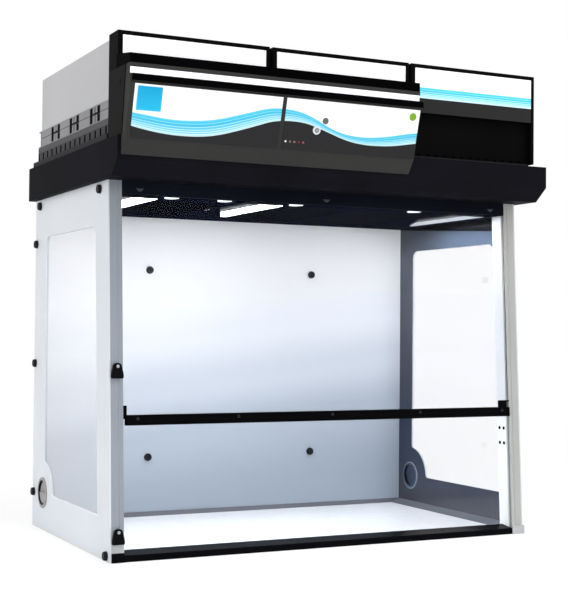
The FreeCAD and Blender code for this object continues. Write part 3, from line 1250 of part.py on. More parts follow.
def end_plate():
    """The black plate on the fascia's left end, which laps onto the first frame's side."""
    foot_z = PLINTH_TOP + CLEAR * 2
    face = [(END_PLATE_REAR_Y, foot_z), (END_PLATE_REAR_Y, FASCIA_TOP_Z), (END_PLATE_TOP_Y, FASCIA_TOP_Z),
            (END_PLATE_LOW_Y, foot_z)]
    plate = slab_x(face, FASCIA_LEFT_X - END_PLATE_T, FASCIA_LEFT_X)
    frame_side = column_centres()[0] - FRAME_W / 2
    packer = box(FASCIA_LEFT_X, frame_side, FRAME_FRONT_Y, END_PLATE_REAR_Y, FRAME_BOTTOM, FASCIA_TOP_Z)
    spot = Vector(FASCIA_LEFT_X - END_PLATE_T - 1, SIGHT_Y, PLINTH_TOP + SIGHT_UP)
    sight = rod(spot, Vector(1, 0, 0), SIGHT_R, END_PLATE_T)
    return plate.fuse(packer).cut(sight).removeSplitter()


def build():
    """Make every node and write it."""
    os.makedirs("parts", exist_ok=True)
    skin, pane, film = side_layers()
    save("side_panel_left", [skin])
    save("side_panel_right", [other_side(skin)])
    save("side_panes", [pane, other_side(pane)])
    save("side_borders", [film, other_side(film)])
    ring, shutter = port_ring(), port_shutter()
    save("port_rings", [ring, other_side(ring)])
    save("port_shutter_left", [shutter])
    save("port_shutter_right", [other_side(shutter)])

    left_post = cut_all(front_post(SILL_END_H + LEFT_FOOT_H), [catch_drill(z) for z in CATCH_Z])
    save("post_left", [left_post])
    save("post_right", [other_side(front_post(RIGHT_FOOT_H))])
    save("post_feet", [post_foot(SILL_END_H, LEFT_FOOT_H, LEFT_FOOT_PROUD, 0),
                       other_side(post_foot(0, RIGHT_FOOT_H, RIGHT_FOOT_PROUD, RIGHT_FOOT_WRAP))])
    left_jamb = jamb()
    save("jambs", [left_jamb, other_side(left_jamb)])
    save("front_sill", [sill()])
    save("floor_plate", [floor_plate()])
    save("spill_tray", [tray()])
    save("back_panel", [back_panel()])
    save("rear_panel", [rear_panel()])
    left_rear = rear_post()
    save("rear_posts", [left_rear, other_side(left_rear)])

    side_knobs = [knob(Vector(-HALF_W, y, z), Vector(-1, 0, 0)) for y, z in side_knob_spots()]
    inside = [knob(Vector(x, BACK_PANEL_Y, z), Vector(0, -1, 0)) for x, z in back_knob_spots()]
    save("thumb_knobs", side_knobs + [other_side(item) for item in side_knobs] + inside)

    save("header_rail", [header_rail()])
    save("fixed_pane", [fixed_pane()])
    save("ceiling_pan", [ceiling()])
    save("prefilters", [prefilter(x) for x in INTAKE_X])
    save("lamps", [lamp(x) for x in LAMP_X])

    save("sash_pane", [sash_pane()])
    save("handle_bar", [handle_bar()])
    save("sash_shoes", sash_shoes())
    save("bar_screws", [screw(spot, OUT_OF_FRONT) for spot in bar_screw_spots()])
    for name, z in zip(("lower", "upper"), CATCH_Z):
        save(f"catch_{name}", [catch(z)])
    save("catch_screws", [catch_pivot(z) for z in CATCH_Z])
    save("header_clips", header_clips())

    save("plinth", [plinth()])
    save("power_inlet", [power_inlet()])
    for number, x in enumerate(column_centres(), 1):
        save(f"filter_base_{number}", [filter_base(x)])
        save(f"filter_case_{number}", [filter_case(x)])
        save(f"fan_box_{number}", [fan_box(x)])
        save(f"front_frame_{number}", [front_frame(x)])
        save(f"impeller_{number}", [impeller(x)])
    save("carbon_filters", [carbon_filter(x) for x in column_centres()])
    save("fan_motors", [motor(x) for x in column_centres()])
    save("exhaust_grilles", [exhaust_grille(x) for x in column_centres()])
    save("front_panels", [front_panel(x) for x in column_centres()])

    save("fascia_shell", [fascia_shell()])
    save("fascia_end_plate", [end_plate()])
    save("visor_and_rail", [visor(), display_rail()])
    save("light_bar", [light_bar()])
    save("display_panels", [display_panel(DISPLAY_LEFT_X, DISPLAY_SPLIT_L),
                            display_panel(DISPLAY_SPLIT_R, DISPLAY_RIGHT_X), badge()])
    save("start_button", [start_button()])
    save("fascia_signals", fascia_signals())
    save("control_board", [control_board()])


build()
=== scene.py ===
"""Looks of a ductless fume hood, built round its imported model.

Each sub-assembly is a class that makes its own fine pieces and dresses its nodes. Names that end in _mm are
millimetres in the hood's frame: +X to the right, +Y to the back, +Z up, origin under its middle.
"""
import json
import logging
import math
from dataclasses import dataclass
from enum import Enum

import bmesh
import bpy
from mathutils import Matrix, Vector

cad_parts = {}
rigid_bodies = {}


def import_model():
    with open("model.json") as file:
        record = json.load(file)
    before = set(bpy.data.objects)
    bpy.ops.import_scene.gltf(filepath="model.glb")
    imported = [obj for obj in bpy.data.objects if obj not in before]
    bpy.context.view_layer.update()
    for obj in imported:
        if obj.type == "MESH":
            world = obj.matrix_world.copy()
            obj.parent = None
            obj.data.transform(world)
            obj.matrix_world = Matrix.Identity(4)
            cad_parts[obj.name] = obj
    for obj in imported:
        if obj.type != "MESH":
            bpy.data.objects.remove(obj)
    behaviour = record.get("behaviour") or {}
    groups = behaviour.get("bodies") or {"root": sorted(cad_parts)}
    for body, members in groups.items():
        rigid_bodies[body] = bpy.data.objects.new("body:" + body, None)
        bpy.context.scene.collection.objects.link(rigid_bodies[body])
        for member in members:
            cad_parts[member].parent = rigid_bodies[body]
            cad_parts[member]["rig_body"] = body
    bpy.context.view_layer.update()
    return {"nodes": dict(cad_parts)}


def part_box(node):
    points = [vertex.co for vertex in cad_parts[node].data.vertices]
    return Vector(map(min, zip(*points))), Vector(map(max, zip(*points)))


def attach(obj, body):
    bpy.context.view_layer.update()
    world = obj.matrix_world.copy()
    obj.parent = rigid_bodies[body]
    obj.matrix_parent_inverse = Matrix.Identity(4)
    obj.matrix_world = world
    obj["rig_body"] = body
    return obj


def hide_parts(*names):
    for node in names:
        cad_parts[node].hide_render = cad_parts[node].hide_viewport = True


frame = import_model()
LOG = logging.getLogger("fume_hood")
Socket = bpy.types.NodeSocket
BMesh = bmesh.types.BMesh
MM = 0.001
WELD_MM = 0.02
# In degrees: faces that turn less are joined, and edges that turn more are eased
FLAT_BELOW = 0.5
SHARP_ABOVE = 40.0

# How every finish drifts between its two colours and roughens
DRIFT_SCALE = 3.0
DRIFT_DETAIL = 2.0
DRIFT_FROM = 0.45
DRIFT_TO = 0.95
FINE_SHARE = 0.35
ROUGH_SPREAD = 0.06
BUMP_STRENGTH = 0.35
# How far a face's direction must point inward, or downward, to count as looking that way
INWARD_LEAST = 0.3
DOWNWARD_LEAST = 0.5


def linear(code: str) -> tuple[float, float, float, float]:
    """Turns an sRGB hex code into linear RGBA.

    Args:
        code: A colour such as "#E6E8EB".

    Returns:
        Four floats, the last of them 1.
    """
    channels = [int(code[i:i + 2], 16) / 255 for i in (1, 3, 5)]
    return (*[c / 12.92 if c <= 0.04045 else ((c + 0.055) / 1.055) ** 2.4 for c in channels], 1.0)


class Net:
    """A node tree, with short ways to add what the finishes need."""

    def __init__(self, tree: bpy.types.NodeTree) -> None:
        """Clears the tree and keeps it."""
        tree.nodes.clear()
        self.tree = tree

    def add(self, kind: str, inputs: dict | None = None, **settings: object) -> bpy.types.Node:
        """Adds a node.

        Args:
            kind: The node's type, without the words that all shader nodes start with.
            inputs: Sockets by name or number; each is given a value, or linked where it is given a socket.
            settings: Attributes of the node to set.

        Returns:
            The new node.
        """
        node = self.tree.nodes.new(f"ShaderNode{kind}")
        for name, value in settings.items():
            setattr(node, name, value)
        for name, value in (inputs or {}).items():
            if isinstance(value, Socket):
                self.tree.links.new(value, node.inputs[name])
            else:
                node.inputs[name].default_value = value
        return node

    def calc(self, operation: str, *values: Socket | float) -> Socket:
        """Adds a calculation such as LESS_THAN on its values and returns the result."""
        return self.add("Math", dict(enumerate(values)), operation=operation).outputs[0]

    def vector(self, operation: str, *values: Socket | tuple) -> Socket:
        """Adds a calculation on vectors and returns the result, a number for a distance or a dot product."""
        result = "Value" if operation in ("DISTANCE", "DOT_PRODUCT") else "Vector"
        return self.add("VectorMath", dict(enumerate(values)), operation=operation).outputs[result]

    def place(self) -> Socket:
        """Returns the place of the shaded point in the hood's frame, in metres."""
        return self.add("TexCoord").outputs["Object"]

    def axis(self, name: str, vector: Socket | None = None) -> Socket:
        """Returns one axis of a vector, or of the shaded point's place if none is given."""
        return self.add("SeparateXYZ", {0: self.place() if vector is None else vector}).outputs[name]

    def looks(self, name: str) -> Socket:
        """Returns one axis of the direction that the shaded face looks in."""
        return self.axis(name, self.add("NewGeometry").outputs["True Normal"])

    def remap(self, value: Socket, start: Socket | float = 0.0, end: Socket | float = 1.0,
              low: Socket | float = 0.0, high: float = 1.0, clamp: bool = True) -> Socket:
        """Maps one range onto another.

        Args:
            value: What is mapped.
            start: The value that gives low.
            end: The value that gives high.
            low: The result at the start.
            high: The result at the end.
            clamp: Whether the result stays between low and high.

        Returns:
            The result's socket.
        """
        return self.add("MapRange", {"Value": value, "From Min": start, "From Max": end, "To Min": low,
                                     "To Max": high}, clamp=clamp).outputs[0]

    def mix(self, share: Socket, first: Socket | str, second: Socket | str) -> Socket:
        """Mixes two colours.

        Args:
            share: 0 gives the first colour and 1 the second.
            first: A colour's socket or its sRGB hex code.
            second: The same.

        Returns:
            The colour's socket.
        """
        pair = [linear(colour) if isinstance(colour, str) else colour for colour in (first, second)]
        return self.add("Mix", {0: share, 6: pair[0], 7: pair[1]}, data_type="RGBA").outputs[2]

    def ramp(self, factor: Socket, stops: tuple, interpolation: str = "LINEAR") -> Socket:
        """Adds a colour ramp.

        Args:
            factor: What drives the ramp.
            stops: Places from 0 to 1 with their sRGB hex codes.
            interpolation: How colours between the stops are found.

        Returns:
            The colour's socket.
        """
        node = self.add("ValToRGB", {0: factor})
        node.color_ramp.interpolation = interpolation
        elements = node.color_ramp.elements
        while len(elements) < len(stops):
            elements.new(1.0)
        for element, (place, code) in zip(elements, stops):
            element.position = place
            element.color = linear(code)
        return node.outputs[0]

    def seen_directly(self) -> Socket:
        """Returns 1 for what the eye, a reflection or a clear sheet sees, and 0 otherwise."""
        path = self.add("LightPath").outputs
        eye = self.calc("MAXIMUM", path["Is Camera Ray"], path["Is Glossy Ray"])
        every = self.calc("MAXIMUM", eye, path["Is Transmission Ray"])
        straight = self.calc("LESS_THAN", path["Diffuse Depth"], 0.5)
        return self.calc("MULTIPLY", every, straight)

    def faces_inward(self) -> Socket:
        """Returns 1 on the faces that look towards the hood's middle plane, and 0 elsewhere."""
        side = self.calc("SIGN", self.axis("X"))
        outward = self.calc("MULTIPLY", side, self.looks("X"))
        return self.calc("LESS_THAN", outward, -INWARD_LEAST)


class Texture(Enum):
    """What the making of a surface leaves on it."""

    PEEL = "sprayed and baked powder"
    BRUSHED = "fine scratches along one axis"
    MOULDED = "fine etched grain of a mould"
    POLISHED = "smooth, with faint smears"
    GRANULES = "loose grains"
    FIBRES = "matted fibres"


@dataclass(frozen=True)
class Finish:
    """A real material with its surface."""

    name: str
    colour: str
    shade: str
    roughness: float
    texture: Texture = Texture.MOULDED
    grain_mm: float = 2.0
    relief_mm: float = 0.05
    metallic: float = 0.0
    specular: float = 0.5
    glow: float = 0.0
    along: tuple = (1.0, 1.0, 0.02)

    def pattern(self, net: Net) -> Socket:
        """Adds the surface's fine pattern and returns its value."""
        place = net.place()
        if self.texture is Texture.BRUSHED:
            place = net.add("Mapping", {"Vector": place, "Scale": self.along}).outputs[0]
        inputs = {"Vector": place, "Scale": 1 / (self.grain_mm * MM)}
        if self.texture in (Texture.GRANULES, Texture.FIBRES):
            return net.add("TexVoronoi", inputs).outputs[0]
        inputs["Detail"] = 1.0 if self.texture is Texture.PEEL else 3.0
        return net.add("TexNoise", inputs).outputs[0]

    def body_colour(self, net: Net, fine: Socket) -> Socket:
        """Mixes the two colours by a broad drift and a little of the fine pattern.

        Args:
            net: The material's nodes.
            fine: The surface's fine pattern.

        Returns:
            The colour's socket.
        """
        drift = net.add("TexNoise", {"Vector": net.place(), "Scale": DRIFT_SCALE, "Detail": DRIFT_DETAIL})
        both = net.calc("MULTIPLY_ADD", fine, FINE_SHARE, drift.outputs[0])
        return net.ramp(both, ((DRIFT_FROM, self.colour), (DRIFT_TO, self.shade)))

    def shader(self, net: Net) -> bpy.types.Node:
        """Builds the surface's shader and returns its Principled node."""
        fine = self.pattern(net)
        rough = net.remap(fine, low=self.roughness - ROUGH_SPREAD, high=self.roughness + ROUGH_SPREAD)
        bump = net.add("Bump", {"Height": fine, "Strength": BUMP_STRENGTH, "Distance": self.relief_mm * MM})
        colour = self.body_colour(net, fine)
        node = net.add("BsdfPrincipled", {
            "Base Color": colour, "Roughness": rough, "Normal": bump.outputs[0], "Metallic": self.metallic,
            "Specular IOR Level": self.specular})
        if self.glow:
            net.tree.links.new(colour, node.inputs["Emission Color"])
            node.inputs["Emission Strength"].default_value = self.glow
        return node

    def surface(self, net: Net) -> Socket:
        """Builds what the material's output takes and returns its socket."""
        return self.shader(net).outputs[0]

    def material(self) -> bpy.types.Material:
        """Makes the material, or returns it if it is made already."""
        made = bpy.data.materials.get(self.name)
        if made is None:
            made = bpy.data.materials.new(self.name)
            made.use_nodes = True
            net = Net(made.node_tree)
            net.add("OutputMaterial", {"Surface": self.surface(net)})
        return made


@dataclass(frozen=True)
class ClearSheet(Finish):
    """A clear sheet that lets the lamps' light through to what it encloses."""

    # A cast sheet's own 1.49 would mirror the white studio over all that stands behind it
    refraction: float = 1.13

    def surface(self, net: Net) -> Socket:
        """Builds a clear shader that is plainly see-through for shadow rays, and returns its socket."""
        glass = net.add("BsdfPrincipled", {
            "Base Color": linear(self.colour), "Roughness": self.roughness, "IOR": self.refraction,
            "Transmission Weight": 1.0})
        clear = net.add("BsdfTransparent", {"Color": linear(self.shade)})
        shadow = net.add("LightPath").outputs["Is Shadow Ray"]
        return net.add("MixShader", {0: shadow, 1: glass.outputs[0], 2: clear.outputs[0]}).outputs[0]


# Powder-coated steel sheet: a faint orange peel, drawn at 4 mm because the real 1 mm would not show
WHITE_COAT = Finish("white powder coat", "#DADDE1", "#D3D7DC", 0.42, Texture.PEEL, 4.0, specular=0.3)
BOX_COAT = Finish("light grey powder coat", "#B9B9BB", "#B2B2B4", 0.46, Texture.PEEL, 4.0, specular=0.2)
# The blacks mirror little, since the white studio would turn their steep faces grey
BLACK_COAT = Finish("black powder coat", "#121214", "#18181A", 0.55, Texture.PEEL, 3.0, specular=0.02)
FRAME_COAT = Finish("satin black frame coat", "#0A0A0B", "#101011", 0.55, Texture.PEEL, 3.0, specular=0.012)
HEADER_COAT = Finish("blue black rail coat", "#0F1119", "#171A25", 0.55, Texture.PEEL, 3.0, specular=0.02)
PLINTH_COAT = Finish("black plinth coat", "#131317", "#18181E", 0.50, Texture.PEEL, 3.0, specular=0.006)
FASCIA_COAT = Finish("charcoal powder coat", "#373736", "#3C3C3A", 0.55, Texture.PEEL, 3.0, specular=0.02)
CEILING_COAT = Finish("dark blue ceiling coat", "#060918", "#0A0F22", 0.45, Texture.PEEL, 5.0, 0.004,
                      specular=0.0)
# The jambs' coat glows a little: painted light, though it is no lamp
JAMB_COAT = Finish("white jamb coat with painted light", "#EAECEE", "#E4E7E9", 0.45, Texture.PEEL, 4.0, 0.04,
                   specular=0.2, glow=0.10)
# Extruded aluminium, satin anodised: lines along the bar
# The right post's paler copy of the same aluminium is painted light: a lit copy of the left post's finish
POST_LIT_COPY = Finish("anodised aluminium, painted lit copy", "#B5B6B3", "#ABACA9", 0.42, Texture.BRUSHED, 2.0, 0.03,
                   metallic=0.1)
POST_METAL = Finish("satin anodised aluminium", "#9AA1AA", "#8D949D", 0.40, Texture.BRUSHED, 2.0, 0.03,
                    metallic=0.25)
STEEL_SHEET = Finish("brushed steel sheet", "#A8ABAE", "#9A9DA0", 0.35, Texture.BRUSHED, 2.0, 0.03,
                     metallic=1.0, along=(0.03, 1.0, 1.0))
SCREW_STEEL = Finish("zinc plated steel", "#C9CBCD", "#B4B6B8", 0.28, Texture.POLISHED, 6.0, 0.01,
                     metallic=1.0)
BLACK_SCREW = Finish("blackened steel", "#16171A", "#1F2024", 0.45, Texture.POLISHED, 6.0, 0.01,
                     specular=0.2)
MOTOR_METAL = Finish("cast aluminium", "#9B9DA0", "#86888B", 0.50, grain_mm=2.5, relief_mm=0.10,
                     metallic=1.0)
# Injection-moulded plastic: the mould's etched grain, drawn at 2 mm
BLACK_MOULDED = Finish("black moulded plastic", "#050506", "#09090B", 0.55, specular=0.015)
CATCH_PLASTIC = Finish("black catch plastic", "#08080A", "#0D0D10", 0.45, specular=0.05)
KNOB_PLASTIC = Finish("black knob plastic", "#111318", "#191B21", 0.42, specular=0.12)
GREY_MOULDED = Finish("light grey moulded plastic", "#B9BBBD", "#AFB1B3", 0.50, specular=0.3)
CLIP_PLASTIC = Finish("dark grey clip plastic", "#4A4E55", "#3E4248", 0.50, specular=0.2)
FAN_MOULDED = Finish("glass-filled nylon", "#26262A", "#303035", 0.55, relief_mm=0.08)
INLET_MOULDED = Finish("black socket plastic", "#121212", "#191919", 0.30, relief_mm=0.03)
GLOSS_BLACK = Finish("polished black extrusion", "#07080A", "#0C0D10", 0.24, Texture.POLISHED, 40.0, 0.01,
                     specular=0.012)
LIGHT_PLASTIC = Finish("lit opal plastic", "#FBFCFF", "#F4F7FC", 0.30, Texture.POLISHED, 20.0, 0.01,
                       glow=0.35)
# Small glowing half-rounds under the ceiling: painted glints, though they are no lamps
GLINT_PATCH = Finish("glowing glint plastic", "#F7FAFF", "#EFF4FC", 0.30, Texture.POLISHED, 10.0, 0.01, glow=1.2)
BOARD_LACQUER = Finish("green circuit lacquer", "#1C6B3A", "#175C31", 0.25, Texture.POLISHED, 5.0, 0.02)
# Filter stuffs: carbon grains of about 4 mm, and a fibre mat
CARBON_GRAINS = Finish("activated carbon granules", "#1B1B1C", "#2B2B2D", 0.75, Texture.GRANULES, 4.0, 1.2)
FIBRE_MAT = Finish("dark fibre mat", "#05070E", "#090C16", 0.90, Texture.FIBRES, 3.0, 0.08, specular=0.0)
CLEAR_ACRYLIC = ClearSheet("clear acrylic", "#FEFEFF", "#F3F6F9", 0.0)
SIDE_ACRYLIC = ClearSheet("side acrylic", "#FEFEFF", "#F3F6F9", 0.0, refraction=1.45)


@dataclass(frozen=True)
class LampFinish(Finish):
    """The work lamps: dark trays with lit opal strips that light the chamber; the right one looks grey."""

    tray: str = "#05081A"
    strips_mm: tuple = (-527.0, -157.0, 515.0)
    half_mm: float = 36.0
    brightness: float = 56.0
    low: float = 0.10
    low_from_mm: float = 300.0

    def lit(self, net: Net) -> Socket:
        """Returns a socket that is 1 on the strips' undersides and 0 on the tray beside them."""
        x = net.axis("X")
        total = 0.0
        for middle in self.strips_mm:
            near = net.calc("COMPARE", x, middle * MM, self.half_mm * MM)
            total = net.calc("ADD", near, total)
        under = net.calc("LESS_THAN", net.looks("Z"), -DOWNWARD_LEAST)
        return net.calc("MULTIPLY", total, under)

    def body_colour(self, net: Net, fine: Socket) -> Socket:
        """Mixes the tray's colour with the strip's."""
        return net.mix(self.lit(net), self.tray, super().body_colour(net, fine))

    def shader(self, net: Net) -> bpy.types.Node:
        """Builds the lit cover's shader and returns its Principled node."""
        node = super().shader(net)
        right = net.calc("GREATER_THAN", net.axis("X"), self.low_from_mm * MM)
        dim = net.calc("MULTIPLY", right, net.seen_directly())
        strength = net.remap(dim, low=self.brightness, high=self.low)
        only_lit = net.calc("MULTIPLY", strength, self.lit(net))
        net.tree.links.new(only_lit, node.inputs["Emission Strength"])
        return node


@dataclass(frozen=True)
class RecessShadeFinish(Finish):
    """A finish painted darker on what lies inside a box, such as slots cut in from the box's outer faces:
    painted shade in the recesses.
    """

    # The colour of the painted shade laid on the core, where slots and recesses fall in shade
    painted_shade: str = "#141415"
    half_mm: tuple = (1.0, 1.0, 1.0)
    middle_mm: tuple = (0.0, 0.0, 0.0)

    def body_colour(self, net: Net, fine: Socket) -> Socket:
        """Mixes the finish's own colour with the painted shade by the distance from the box's middle."""
        outer = self.outer_colour(net, fine)
        from_middle = net.vector("SUBTRACT", net.place(), Vector(self.middle_mm) * MM)
        axes = net.add("SeparateXYZ", {0: net.vector("ABSOLUTE", from_middle)})
        inside = 1.0
        for axis, half in enumerate(self.half_mm):
            under = net.calc("LESS_THAN", axes.outputs[axis], half * MM)
            inside = net.calc("MULTIPLY", under, inside)
        return net.mix(inside, outer, self.painted_shade)

    def outer_colour(self, net: Net, fine: Socket) -> Socket:
        """Returns the colour of the outer faces."""
        return super().body_colour(net, fine)


@dataclass(frozen=True)
class BaseFinish(RecessShadeFinish):
    """The filter bases' plastic: a paler smooth strip over a darker rib band and a nearly black flange, with
    painted shade on the core between the ribs and in the slots.
    """

    strip_from_mm: float = 1124.0
    band_from_mm: float = 1096.2
    strip: str = "#525254"
    flange: str = "#262628"

    def outer_colour(self, net: Net, fine: Socket) -> Socket:
        """Picks the colour by height."""
        height = net.axis("Z")
        over_band = net.calc("GREATER_THAN", height, self.strip_from_mm * MM)
        over_flange = net.calc("GREATER_THAN", height, self.band_from_mm * MM)
        low = net.mix(over_flange, self.flange, super().outer_colour(net, fine))
        return net.mix(over_band, low, self.strip)


@dataclass(frozen=True)
class BackFinish(Finish):
    """The back panel's coat: white above, greyer below, as the photograph's lamps leave it."""

    top_mm: float = 950.0
    # The painted shade darkens a little to the right, and fades by height
    slant: float = -0.12
    painted_light_tones: tuple = (
        (0.08, "#949EAA"), (0.30, "#A4ADB8"), (0.46, "#CBD2DA"), (0.62, "#EBEFF4"), (0.78, "#FCFDFE"))

    def body_colour(self, net: Net, fine: Socket) -> Socket:
        """Picks the painted shade by height, a little darker to the right."""
        level = net.calc("MULTIPLY_ADD", net.axis("X"), self.slant, net.axis("Z"))
        return net.ramp(net.calc("DIVIDE", level, self.top_mm * MM), self.painted_light_tones, "EASE")


@dataclass(frozen=True)
class StepFinish(Finish):
    """A finish with another colour above or below a height."""

    second: str = "#FFFFFF"
    step_mm: float = 0.0
    which: str = "GREATER_THAN"

    def body_colour(self, net: Net, fine: Socket) -> Socket:
        """Picks the colour by height."""
        step = net.calc(self.which, net.axis("Z"), self.step_mm * MM)
        return net.mix(step, super().body_colour(net, fine), self.second)


@dataclass(frozen=True)
class PortFinish(Finish):
    """The ports' plastic: grey outside, with painted shade black round the bore's side and dark slate on the
    faces inside, and a painted highlight on the paler rim inside.
    """

    # The faces inside get painted shade, and their rim a painted highlight
    painted_shade: str = "#3A465A"
    rim: str = "#8E9BAD"
    highlight_from_mm: float = 42.4
    # A black ring of painted shade where the bore's side lies in shade
    painted_wall_shade: str = "#060607"
    centre_mm: tuple = (0.0, 321.68, 109.0)
    wall_shade_middle_mm: float = 33.75
    wall_shade_half_mm: float = 3.25

    def body_colour(self, net: Net, fine: Socket) -> Socket:
        """Picks the colour by the way a face looks and by its distance from the port's axis, laying on the
        painted shade and the painted highlight.
        """
        flat = net.vector("MULTIPLY", net.place(), (0.0, 1.0, 1.0))
        away = net.vector("DISTANCE", flat, Vector(self.centre_mm) * MM)
        painted_wall_shade = net.calc("COMPARE", away, self.wall_shade_middle_mm * MM, self.wall_shade_half_mm * MM)
        outer = net.mix(painted_wall_shade, super().body_colour(net, fine), self.painted_wall_shade)
        edge = net.calc("GREATER_THAN", away, self.highlight_from_mm * MM)
        return net.mix(net.faces_inward(), outer, net.mix(edge, self.painted_shade, self.rim))


@dataclass(frozen=True)
class FilmFinish(Finish):
    """The windows' border film: slate, lighter and darker by height in painted light and shade, with a black
    wedge on top that is a painted reflection of the dark ceiling, white on its back and edges.
    """

    back: str = "#DADDE1"
    high_mm: float = 944.0
    # A painted reflection of the dark ceiling: black above a slanting line near the top
    slant: float = -0.068
    reflection_from_mm: float = 915.0
    dark: str = "#03040A"
    grain_share: float = 0.04
    # The slate's painted light and shade, from the floor up
    painted_light_tones: tuple = (
        (0.0, "#4E4D57"), (0.08, "#43454F"), (0.18, "#323A4A"), (0.35, "#20293A"), (0.75, "#242D3E"),
        (1.0, "#36404E"))

    def body_colour(self, net: Net, fine: Socket) -> Socket:
        """Mixes the back's white with the painted light and shade by height and the painted reflection's
        black wedge.
        """
        height = net.axis("Z")
        share = net.remap(height, end=self.high_mm * MM)
        slate = net.ramp(net.calc("MULTIPLY_ADD", fine, self.grain_share, share), self.painted_light_tones)
        level = net.calc("MULTIPLY_ADD", net.axis("Y"), self.slant, height)
        above = net.calc("GREATER_THAN", level, self.reflection_from_mm * MM)
        return net.mix(net.faces_inward(), self.back, net.mix(above, slate, self.dark))


@dataclass(frozen=True)
class PanelPrint(Finish):
    """Printed film of the front panels: white over a layered blue stripe over charcoal."""

    stripe_top_mm: float = 1286.0
    stripe_low_mm: float = 1255.0
    dark: str = "#2C2C2D"
    # The stripe's bands from its top down, paler downwards, with pale lines drawn wide enough to show
    bands: tuple = (
        (0.00, "#84DAF0"), (0.06, "#50C9EC"), (0.20, "#8CE2F5"), (0.25, "#49C1E6"), (0.40, "#AEE8F7"),
        (0.45, "#5CCBEC"), (0.57, "#C2EEF9"), (0.62, "#7CD3EC"), (0.71, "#CAF0FA"), (0.76, "#92D9ED"),
        (0.85, "#E0F7FD"), (0.90, "#A8E0F0"), (0.95, "#D8F3FB"))

    def body_colour(self, net: Net, fine: Socket) -> Socket:
        """Lays the print out by height."""
        return self.layers(net, net.remap(net.axis("Z"), self.stripe_top_mm * MM, self.stripe_low_mm * MM,
                                          clamp=False))

    def layers(self, net: Net, down: Socket) -> Socket:
        """Puts white above the stripe and charcoal below it.

        Args:
            net: The material's nodes.
            down: 0 at the stripe's top edge and 1 at its lower edge.

        Returns:
            The print's colour socket.
        """
        below = net.calc("GREATER_THAN", down, 1.0)
        above = net.calc("LESS_THAN", down, 0.0)
        return net.mix(above, net.mix(below, net.ramp(down, self.bands, "CONSTANT"), self.dark), self.colour)


# The fascia's sloping face: a point on its upper edge in metres, and the unit vectors down it and out of it
SLOPE_START = Vector((0.0, -443.1, 1200.6)) * MM
SLOPE_DOWN = Vector((0.0, 0.27114, -0.96254))
SLOPE_OUT = Vector((0.0, -0.96254, -0.27114))
BUTTON_MIDDLE = SLOPE_START + Vector((-125.7, 0.0, 0.0)) * MM + SLOPE_DOWN * 80.8 * MM + SLOPE_OUT * 3.0 * MM


@dataclass(frozen=True)
class WavePrint(PanelPrint):
    """Printed film of the control panels: the stripe runs across it as a wave, with a raised blue badge."""

    left_mm: float = -640.0
    right_mm: float = 190.0
    scale_mm: float = 140.0
    badge_over_mm: float = 1.8
    badge: tuple = ((0.05, "#1FA6D6"), (0.50, "#2FBEE8"))
    crest: tuple = (
        (-638, 74.7), (-605, 78.2), (-565, 82.4), (-525, 84.7), (-484, 83.5), (-441, 79.5), (-406, 73.1),
        (-375, 65), (-343.8, 55.9), (-312.5, 46.8), (-281, 37.8), (-259.5, 33.8), (-237.6, 32.3),
        (-215, 32.8), (-192.4, 34.9), (-169, 39.6), (-154.8, 43.8), (-128.6, 53.4), (-109.8, 62),
        (-88.5, 71), (-62.1, 79.7), (-35.9, 85.5), (-10, 88.2), (15.8, 89.1), (54, 86.7), (92.5, 81.5),
        (130.8, 74.4), (156.3, 69.2), (180, 65.5))
    trough: tuple = (
        (-640, 108), (-601, 115.2), (-560.6, 120.7), (-520, 123.4), (-480, 123.4), (-441, 120.6),
        (-400.7, 113.5), (-369.7, 105), (-338.6, 95.3), (-307.3, 85), (-286.4, 77.8), (-265.4, 70.8),
        (-243.8, 66), (-215.2, 63), (-188.3, 62.9), (-170, 64), (-151.4, 66.8), (-125.7, 73.6),
        (-99.6, 81.2), (-73.2, 89.6), (-46.7, 97.5), (-20.3, 103.6), (5.9, 107.4), (32, 109.4),
        (70.9, 108.9), (109.8, 106.1), (135.7, 102.4), (161.5, 98), (181, 95))

    def edge(self, net: Net, across: Socket, points: tuple) -> Socket:
        """Draws one edge of the wave as a smooth curve.

        Args:
            net: The material's nodes.
            across: 0 at the left of the print and 1 at its right.
            points: Places across and down the face, in millimetres.

        Returns:
            The edge's distance down the face, as a share of scale_mm.
        """
        curve = net.add("FloatCurve", {"Value": across})
        line = curve.mapping.curves[0]
        while len(line.points) < len(points):
            line.points.new(0.5, 0.5)
        for point, (x, down) in zip(line.points, points):
            point.location = ((x - self.left_mm) / (self.right_mm - self.left_mm), down / self.scale_mm)
        curve.mapping.update()
        return curve.outputs[0]

    def body_colour(self, net: Net, fine: Socket) -> Socket:
        """Lays the wave out on the sloping face."""
        place = net.place()
        local = net.vector("SUBTRACT", place, SLOPE_START)
        down = net.vector("DOT_PRODUCT", local, SLOPE_DOWN / (self.scale_mm * MM))
        over = net.vector("DOT_PRODUCT", local, SLOPE_OUT)
        across = net.remap(net.axis("X", place), self.left_mm * MM, self.right_mm * MM)
        layer = net.remap(down, self.edge(net, across, self.crest), self.edge(net, across, self.trough),
                          clamp=False)
        raised = net.calc("GREATER_THAN", over, self.badge_over_mm * MM)
        return net.mix(raised, self.layers(net, layer), net.ramp(down, self.badge))


